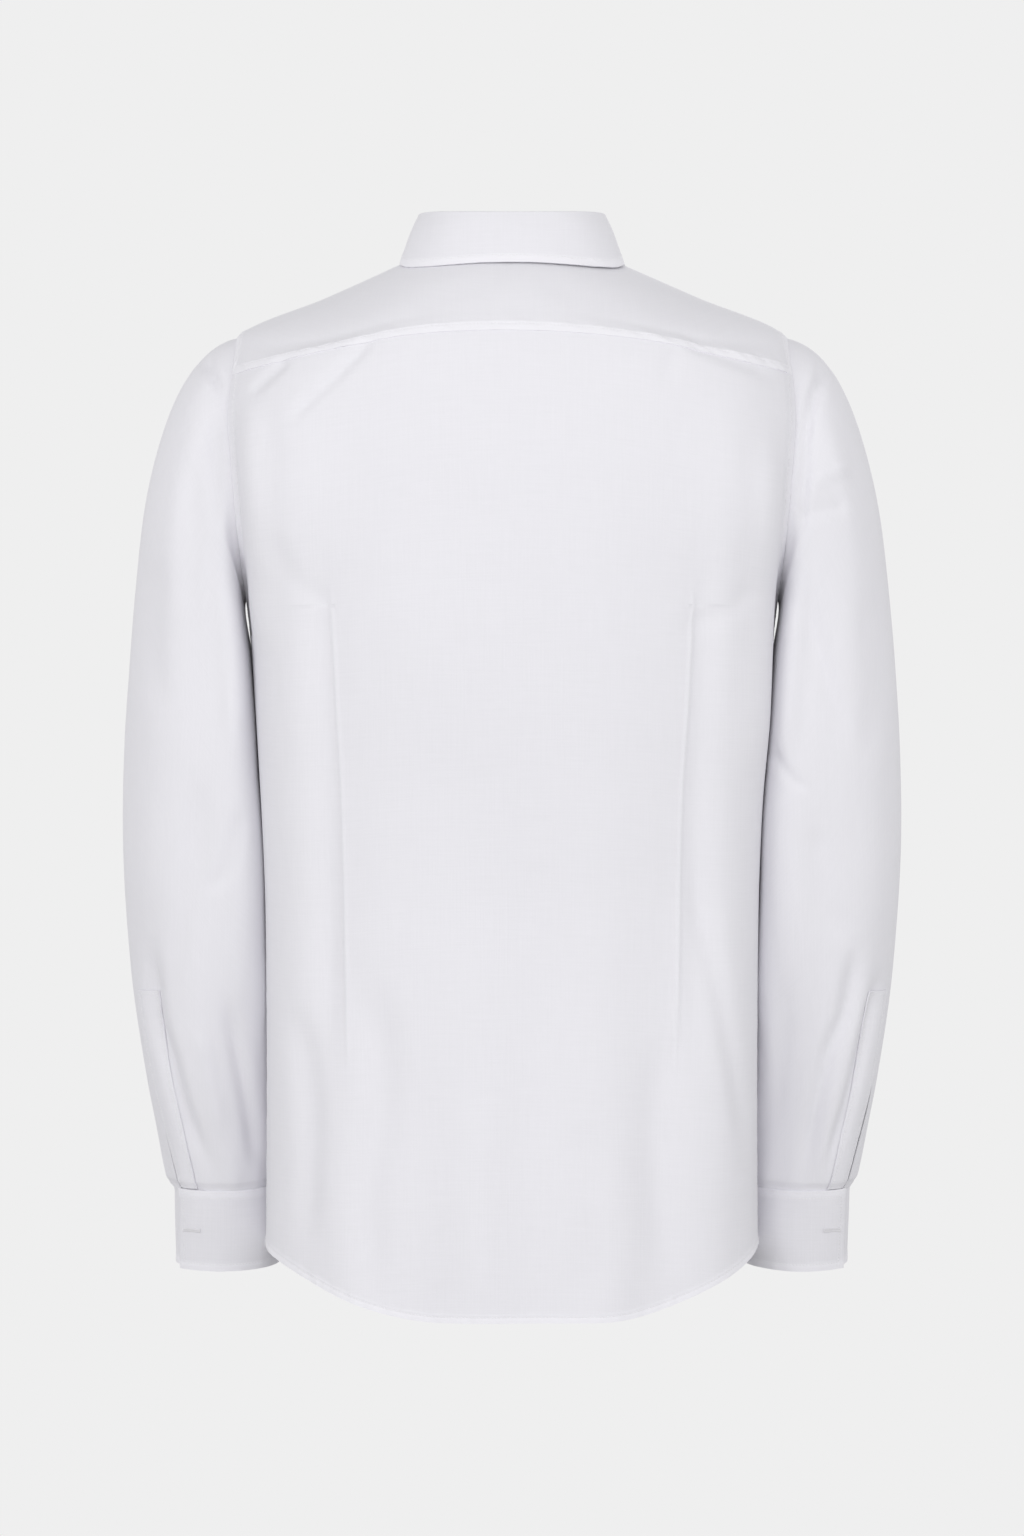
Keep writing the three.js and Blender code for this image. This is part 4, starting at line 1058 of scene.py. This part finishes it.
def round_button():
    """A turned button with a rim, a dished face and four holes, facing +Z from its back."""
    r, thick = BUTTON["radius"], BUTTON["thick"]
    profile = [(0, 1.5), (2.9, 1.5), (3.6, 1.62), (4.1, 2.0), (4.6, thick), (5.05, thick - 0.05), (5.35, 1.9),
               (r, 1.4), (5.4, 0.7), (4.9, 0.25), (4.2, 0.05), (0, 0)]
    sides = 48
    verts, faces = [(0, 0, profile[0][1])], []
    rings = profile[1:-1]
    for radius, height in rings:
        verts += [(radius * math.cos(t), radius * math.sin(t), height)
                  for t in (2 * math.pi * k / sides for k in range(sides))]
    verts.append((0, 0, 0))
    for k in range(sides):
        m = (k + 1) % sides
        faces.append((0, 1 + k, 1 + m))
        for j in range(len(rings) - 1):
            a, b = 1 + j * sides, 1 + (j + 1) * sides
            faces.append((a + k, b + k, b + m, a + m))
        a = 1 + (len(rings) - 1) * sides
        faces.append((a + m, a + k, len(verts) - 1))
    disc = new_object("button_blank", np.array(verts, float), faces, sharp=40)
    drill_verts, drill_faces = [], []
    for quarter in range(4):
        middle = (quarter + 0.5) * math.pi / 2
        x, y = BUTTON["hole_reach"] * math.cos(middle), BUTTON["hole_reach"] * math.sin(middle)
        base = len(drill_verts)
        for height in (-1, 4):
            for k in range(20):
                t = 2 * math.pi * k / 20
                drill_verts.append((x + BUTTON["hole"] * math.cos(t), y + BUTTON["hole"] * math.sin(t),
                                    height))
        drill_faces.append(tuple(base + k for k in reversed(range(20))))
        drill_faces.append(tuple(base + 20 + k for k in range(20)))
        for k in range(20):
            m = (k + 1) % 20
            drill_faces.append((base + k, base + m, base + 20 + m, base + 20 + k))
    drill = new_object("button_drill", np.array(drill_verts, float), drill_faces)
    cut = disc.modifiers.new("holes", "BOOLEAN")
    cut.operation, cut.solver, cut.object = "DIFFERENCE", "EXACT", drill
    bpy.context.view_layer.update()
    mesh = bpy.data.meshes.new_from_object(disc.evaluated_get(bpy.context.evaluated_depsgraph_get()))
    bpy.data.objects.remove(disc)
    bpy.data.objects.remove(drill)
    mesh.shade_smooth()
    mesh.set_sharp_from_angle(angle=40 * RAD)
    return mesh


def tube(path, radius, sides=6):
    """A round thread along a path of points."""
    path = np.array(path, float)
    ways = unit(np.gradient(path, axis=0))
    first = unit(np.cross(ways, np.array([0.31, 0.17, 0.93])))
    second = np.cross(ways, first)
    verts, faces = [], []
    for point, a, b in zip(path, first, second):
        verts += [point + radius * (a * math.cos(t) + b * math.sin(t))
                  for t in (2 * math.pi * k / sides for k in range(sides))]
    for j in range(len(path) - 1):
        for k in range(sides):
            m = (k + 1) % sides
            faces.append((j * sides + k, j * sides + m, (j + 1) * sides + m, (j + 1) * sides + k))
    faces.append(tuple(reversed(range(sides))))
    faces.append(tuple((len(path) - 1) * sides + k for k in range(sides)))
    return np.array(verts), faces


def joined(parts):
    verts, faces, count = [], [], 0
    for part_verts, part_faces in parts:
        verts.append(part_verts)
        faces += [tuple(count + i for i in face) for face in part_faces]
        count += len(part_verts)
    return np.concatenate(verts), faces


def button_thread():
    """Two crossed bundles of thread through the four holes, and a shank below."""
    reach, top = BUTTON["hole_reach"], 1.5
    parts = []
    for quarter in (0, 1):
        middle = (quarter + 0.5) * math.pi / 2
        way = np.array([math.cos(middle), math.sin(middle), 0])
        side = np.array([-way[1], way[0], 0])
        for off in (-0.36, 0, 0.36):
            arch = [way * reach * s + side * off + np.array([0, 0, z + 0.12 * quarter])
                    for s, z in ((-1, 0.2), (-0.97, 1.2), (-0.8, top + 0.22), (-0.4, top + 0.4),
                                 (0, top + 0.45), (0.4, top + 0.4), (0.8, top + 0.22), (0.97, 1.2),
                                 (1, 0.2))]
            parts.append(tube(arch, 0.2))
    parts.append(tube([(0, 0, -0.75), (0, 0, -0.3), (0, 0, 0.05)], 1.3, 12))
    return joined(parts)


def facing(point, normal):
    """A placement that faces along a normal, with its sides level."""
    out = Vector(normal).normalized()
    across = Vector((0, 0, 1)).cross(out).normalized()
    up = out.cross(across)
    turn = Matrix((across, up, out)).transposed().to_4x4()
    return Matrix.Translation(Vector(point)) @ turn


def button_places():
    """Each button's node with where it lies and faces, as in the CAD model."""
    places = {}
    rise = 0.3 + 1.2 + BUTTON["clear"]
    for k in range(FRONT_BUTTONS["count"]):
        down = FRONT_BUTTONS["first"] + k * FRONT_BUTTONS["spacing"]
        out = body_normal(FRONT, down)
        places[f"button_front_{k + 1}"] = (body_point(FRONT, down) + out * rise, out)
    band = stand_point(np.array(FRONT), np.array(0.5))
    lean = stand_point(np.array(FRONT), np.array(0.0)) - stand_point(np.array(FRONT), np.array(1.0))
    out = unit(-np.cross(np.array([-1, 0, 0]), lean))
    places["button_collar"] = (band + out * BUTTON["clear"], out)
    for side in ("left", "right"):
        degrees, along = np.array(CUFF_BUTTON["turn"] + 360.0), np.array(float(CUFF_BUTTON["along"]))
        point = cuff_point(degrees, along, 0)
        out = unit(cuff_point(degrees, along, 1) - point)
        flip = np.array([-1 if side == "right" else 1, 1, 1])
        places[f"button_cuff_{side}"] = ((point + out * BUTTON["clear"]) * flip, out * flip)
    return places


def buttonhole(long):
    """A worked buttonhole along Y: two dense rows of stitches, barred at their ends."""
    runs = []
    half = long / 2
    for k in range(int(long / BUTTONHOLE_PITCH) + 1):
        y = -half + k * BUTTONHOLE_PITCH
        for side in (-1, 1):
            runs.append(tube([(side * 0.1, y, 0), (side * 0.5, y, 0.08), (side * 1.1, y, 0.06),
                              (side * 1.3, y, -0.1)], 0.24, 5))
    for end in (-1, 1):
        runs.append(tube([(-1.2, end * (half + 0.4), 0), (-0.8, end * (half + 0.4), 0.3),
                          (0.8, end * (half + 0.4), 0.3), (1.2, end * (half + 0.4), 0)], 0.34, 6))
    return joined(runs)


def placed(part, placement):
    verts, faces = part
    matrix = np.array(placement)
    return verts @ matrix[:3, :3].T + matrix[:3, 3], faces


class ShirtSizes(bpy.types.PropertyGroup):
    """Sizes of the cloth and its sewing."""
    thickness: FloatProperty(name="Cloth thickness", description="Thickness of one layer with its turnings",
                             default=0.0009, unit="LENGTH", min=0.0003, max=0.0015)
    collar_thickness: FloatProperty(name="Collar thickness",
                                    description="Thickness of the interlined collar and cuffs",
                                    default=0.0014, unit="LENGTH", min=0.0008, max=0.002)
    folds: FloatProperty(name="Fold strength",
                         description="Depth of the folds as a share of the worn shirt's",
                         default=1.0, subtype="FACTOR", min=0, max=1.5)
    stitch_pitch: FloatProperty(name="Stitch pitch", description="Distance from one stitch to the next",
                                default=0.0025, unit="LENGTH", min=0.001, max=0.006)
    thread_width: FloatProperty(name="Thread width", description="Width of the topstitching thread",
                                default=0.0005, unit="LENGTH", min=0.0002, max=0.001)


class ShirtColours(bpy.types.PropertyGroup):
    """Colours of the shirt and its stage."""
    cloth: FloatVectorProperty(name="Cloth", description="Colour of the poplin", subtype="COLOR", size=3,
                               min=0, max=1, default=linear("#EBEAEF"))
    # The turned cloth colour is painted light: a lighter copy of the poplin for turned bands, where less of
    # the inside's shade shows through.
    turned: FloatVectorProperty(name="Turned cloth",
                                description="Colour of the poplin where it is turned over itself",
                                subtype="COLOR", size=3, min=0, max=1, default=linear("#F0EFF4"))
    thread: FloatVectorProperty(name="Thread", description="Colour of the sewing thread",
                                subtype="COLOR", size=3, min=0, max=1, default=linear("#F2F1F4"))
    resin: FloatVectorProperty(name="Buttons", description="Colour of the button resin",
                               subtype="COLOR", size=3, min=0, max=1, default=linear("#ECEBE6"))
    paper: FloatVectorProperty(name="Floor", description="Colour of the studio floor",
                               subtype="COLOR", size=3, min=0, max=1, default=linear("#D2D2D2"))


class ShirtStep:
    """What every step of the dressing shares."""
    bl_options = {"REGISTER", "UNDO"}

    def execute(self, context):
        sizes = context.scene.shirt_sizes
        self.thick = sizes.thickness / MM
        self.stiff = sizes.collar_thickness / MM
        self.folds = sizes.folds
        self.make()
        return {"FINISHED"}


class SHIRT_OT_back(ShirtStep, bpy.types.Operator):
    """Makes the back panel with its darts and hem, and the yoke over the shoulders"""
    bl_idname = "shirt.back"
    bl_label = "Back and yoke"

    def make(self):
        back = back_grid(self.folds)
        cloth = add_cloth("back_cloth", back, "back", self.thick, bottom=4)
        runs = [seam_line(back, "bottom", HEM_STITCH)]
        runs += [seam_line(back, edge, 6) for edge in ("left", "right")]
        sewing = add_stitches("back_stitches", runs)
        yoke = yoke_grid(self.folds)
        cloth = add_cloth("yoke_cloth", yoke, "yoke", self.thick, bottom=7.5)
        runs = [seam_line(yoke, "bottom", 5.5)]
        runs += [seam_line(yoke, edge, 4.5) for edge in ("left", "right")]
        sewing = add_stitches("yoke_stitches", runs)


class SHIRT_OT_fronts(ShirtStep, bpy.types.Operator):
    """Makes the two fronts and the placket down the edge of the left one"""
    bl_idname = "shirt.fronts"
    bl_label = "Fronts and placket"

    def make(self):
        over = front_grid(np.array([16, 12, 8, 4, 0, -4, -8, -12, -15.9]), False, self.folds)
        under = mirrored(front_grid(np.array([18, 17, 12, 8, 4, 0, -4, -8, -12, -15.5]), True, self.folds))
        placket = placket_grid(self.folds)
        for name, grid, node, side in (("front_left_cloth", over, "front_left", "left"),
                                       ("front_right_cloth", under, "front_right", "right")):
            cloth = add_cloth(name, grid, node, self.thick, bottom=5.5)
            sewing = add_stitches(f"front_{side}_stitches", [seam_line(grid, "bottom", HEM_STITCH)])
        cloth = add_cloth("placket_cloth", placket, "placket", TRIM_THICK, left=6, right=6)
        runs = [seam_line(placket, edge, 6, (1, 1)) for edge in ("left", "right")]
        sewing = add_stitches("placket_stitches", runs)


class SHIRT_OT_collar(ShirtStep, bpy.types.Operator):
    """Makes the collar's stand and its turned-down fall"""
    bl_idname = "shirt.collar"
    bl_label = "Collar"

    def make(self):
        stand = stand_grid()
        cloth = add_cloth("collar_stand_cloth", stand, "collar_stand", self.stiff, bottom=3)
        sewing = add_stitches("collar_stand_stitches", [seam_line(stand, "bottom", 2.4, (3, 3))])
        fall = fall_grid()
        cloth = add_cloth("collar_fall_cloth", fall, "collar_fall", self.stiff, bottom=6.2, left=6.2,
                          right=6.2)
        runs = [seam_line(fall, "bottom", 5.5, (5, 5))]
        runs += [seam_line(fall, edge, 5.5, (12, 5)) for edge in ("left", "right")]
        sewing = add_stitches("collar_fall_stitches", runs)


class SHIRT_OT_sleeves(ShirtStep, bpy.types.Operator):
    """Makes both sleeves with their folds, and the plackets of their slits"""
    bl_idname = "shirt.sleeves"
    bl_label = "Sleeves"

    def make(self):
        for side in ("left", "right"):
            sleeve, strip = sleeve_cloth(side, self.folds)
            cloth = add_cloth(f"sleeve_{side}_cloth", sleeve, f"sleeve_{side}", self.thick)
            trim = add_cloth(f"sleeve_placket_{side}_cloth", strip, f"sleeve_placket_{side}", TRIM_THICK)
            runs = [seam_line(strip, edge, TRIM_STITCH, (1, 1)) for edge in ("left", "right")]
            runs.append(seam_line(strip, "top", TRIM_STITCH, (1, 1)))
            sewing = add_stitches(f"sleeve_placket_{side}_stitches", runs)


class SHIRT_OT_cuffs(ShirtStep, bpy.types.Operator):
    """Makes both cuffs, with the free end of each over its other end"""
    bl_idname = "shirt.cuffs"
    bl_label = "Cuffs"

    def make(self):
        for side in ("left", "right"):
            grid = cuff_grid(side)
            cloth = add_cloth(f"cuff_{side}_cloth", grid, f"cuff_{side}", self.stiff, top=6, bottom=6)
            free = "right" if side == "left" else "left"
            runs = [seam_line(grid, "bottom", 5, (5, 5)), seam_line(grid, "top", 5.5, (5, 5))]
            runs.append(seam_line(grid, "top", 1.5, (2, 2)))
            runs.append(seam_line(grid, free, 5, (5, 5)))
            sewing = add_stitches(f"cuff_{side}_stitches", runs)


class SHIRT_OT_buttons(ShirtStep, bpy.types.Operator):
    """Makes the buttons with their thread, and the worked buttonholes"""
    bl_idname = "shirt.buttons"
    bl_label = "Buttons and buttonholes"

    def make(self):
        blank = round_button()
        threads, holes = [], []
        for node, (point, out) in button_places().items():
            placement = facing(point, out)
            mesh = blank.copy()
            mesh.name = f"{node}_resin"
            shift = placement.copy()
            shift.translation = placement.translation * MM
            mesh.transform(shift)
            piece = bpy.data.objects.new(f"{node}_resin", mesh)
            bpy.context.scene.collection.objects.link(piece)
            add_piece(piece, button_resin(), RESIN_SLOT, node)
            threads.append(placed(button_thread(), placement))
            if node.startswith("button_cuff"):
                continue
            sunk = placement.copy()
            sunk.translation = placement.translation - Vector(out) * (BUTTON["clear"] + 0.02)
            if node == "button_collar":
                sunk = sunk @ Matrix.Rotation(math.pi / 2, 4, "Z")
            holes.append(placed(buttonhole(BUTTONHOLE_LONG), sunk))
        for side in ("left", "right"):
            degrees, along = np.array(CUFF["free"] + 17.0), np.array(float(CUFF_BUTTON["along"]))
            point = cuff_point(degrees, along, 0.4)
            out = unit(cuff_point(degrees, along, 1.4) - point)
            flip = np.array([-1 if side == "right" else 1, 1, 1])
            sunk = facing(point * flip, out * flip) @ Matrix.Rotation(math.pi / 2, 4, "Z")
            holes.append(placed(buttonhole(BUTTONHOLE_LONG), sunk))
        add_piece(new_object("button_threads", *joined(threads)), sewing_thread(), CLOTH_SLOT)
        add_piece(new_object("buttonholes", *joined(holes)), sewing_thread(), CLOTH_SLOT)


class SHIRT_OT_stage(bpy.types.Operator):
    """Makes the pale floor, the soft studio light and the camera behind the shirt"""
    bl_idname = "shirt.stage"
    bl_label = "Stage"
    bl_options = {"REGISTER", "UNDO"}

    def execute(self, context):
        scene = context.scene
        corners = [(-2600, -1180), (2600, -1180), (2600, 3000), (-2600, 3000)]
        floor = new_object("studio_floor", np.array([(x, y, FLOOR_LEVEL) for x, y in corners]),
                           [(0, 1, 2, 3)])
        floor.data.materials.append(studio_paper())
        world = bpy.data.worlds.new("studio_air")
        scene.world = world
        world.use_nodes = True
        tree = world.node_tree
        tree.nodes.clear()
        pale = tuple(linear("#EFEFEF")) + (1,)
        # The air behind the shirt is lit apart from the shirt, as a photographer lights a backdrop.
        seen = add_node(tree, "ShaderNodeBackground", {"Color": pale, "Strength": 1.0})
        soft = add_node(tree, "ShaderNodeBackground", {"Color": pale, "Strength": AIR_STRENGTH})
        path = add_node(tree, "ShaderNodeLightPath")
        both = add_node(tree, "ShaderNodeMixShader", {},
                        {0: path.outputs[0], 1: soft.outputs[0], 2: seen.outputs[0]})
        add_node(tree, "ShaderNodeOutputWorld", {}, {"Surface": both.outputs[0]})
        for name, place, size, power in LIGHTS:
            light = bpy.data.lights.new(name, "AREA")
            light.size = size
            light.energy = power
            lamp = bpy.data.objects.new(name, light)
            lamp.location = place
            lamp.rotation_euler = (Vector(LIGHT_AIM) - Vector(place)).to_track_quat("-Z", "Y").to_euler()
            scene.collection.objects.link(lamp)
        lens = bpy.data.cameras.new("camera")
        lens.lens = CAMERA_LENS
        camera = bpy.data.objects.new("camera", lens)
        camera.location = CAMERA_PLACE
        camera.rotation_euler = (math.pi / 2, 0, math.pi)
        scene.collection.objects.link(camera)
        scene.camera = camera
        scene.view_settings.view_transform = "Standard"
        return {"FINISHED"}


class SHIRT_PT_panel(bpy.types.Panel):
    """Sizes, colours and steps of the dress shirt"""
    bl_idname = "SHIRT_PT_panel"
    bl_label = "Dress shirt"
    bl_space_type = "VIEW_3D"
    bl_region_type = "UI"
    bl_category = "Shirt"

    def draw(self, context):
        for group in (context.scene.shirt_sizes, context.scene.shirt_colours):
            for name in group.__annotations__:
                self.layout.prop(group, name)
        for step in STEPS:
            self.layout.operator(step.bl_idname)


STEPS = (SHIRT_OT_back, SHIRT_OT_fronts, SHIRT_OT_collar, SHIRT_OT_sleeves, SHIRT_OT_cuffs, SHIRT_OT_buttons,
         SHIRT_OT_stage)
CLASSES = (ShirtSizes, ShirtColours) + STEPS + (SHIRT_PT_panel,)


def register():
    for item in CLASSES:
        bpy.utils.register_class(item)
    bpy.types.Scene.shirt_sizes = PointerProperty(type=ShirtSizes)
    bpy.types.Scene.shirt_colours = PointerProperty(type=ShirtColours)


def unregister():
    del bpy.types.Scene.shirt_colours
    del bpy.types.Scene.shirt_sizes
    for item in reversed(CLASSES):
        bpy.utils.unregister_class(item)


def main():
    register()
    bpy.ops.shirt.back()
    bpy.ops.shirt.fronts()
    bpy.ops.shirt.collar()
    bpy.ops.shirt.sleeves()
    bpy.ops.shirt.cuffs()
    bpy.ops.shirt.buttons()
    bpy.ops.shirt.stage()


if __name__ == "__main__":
    main()
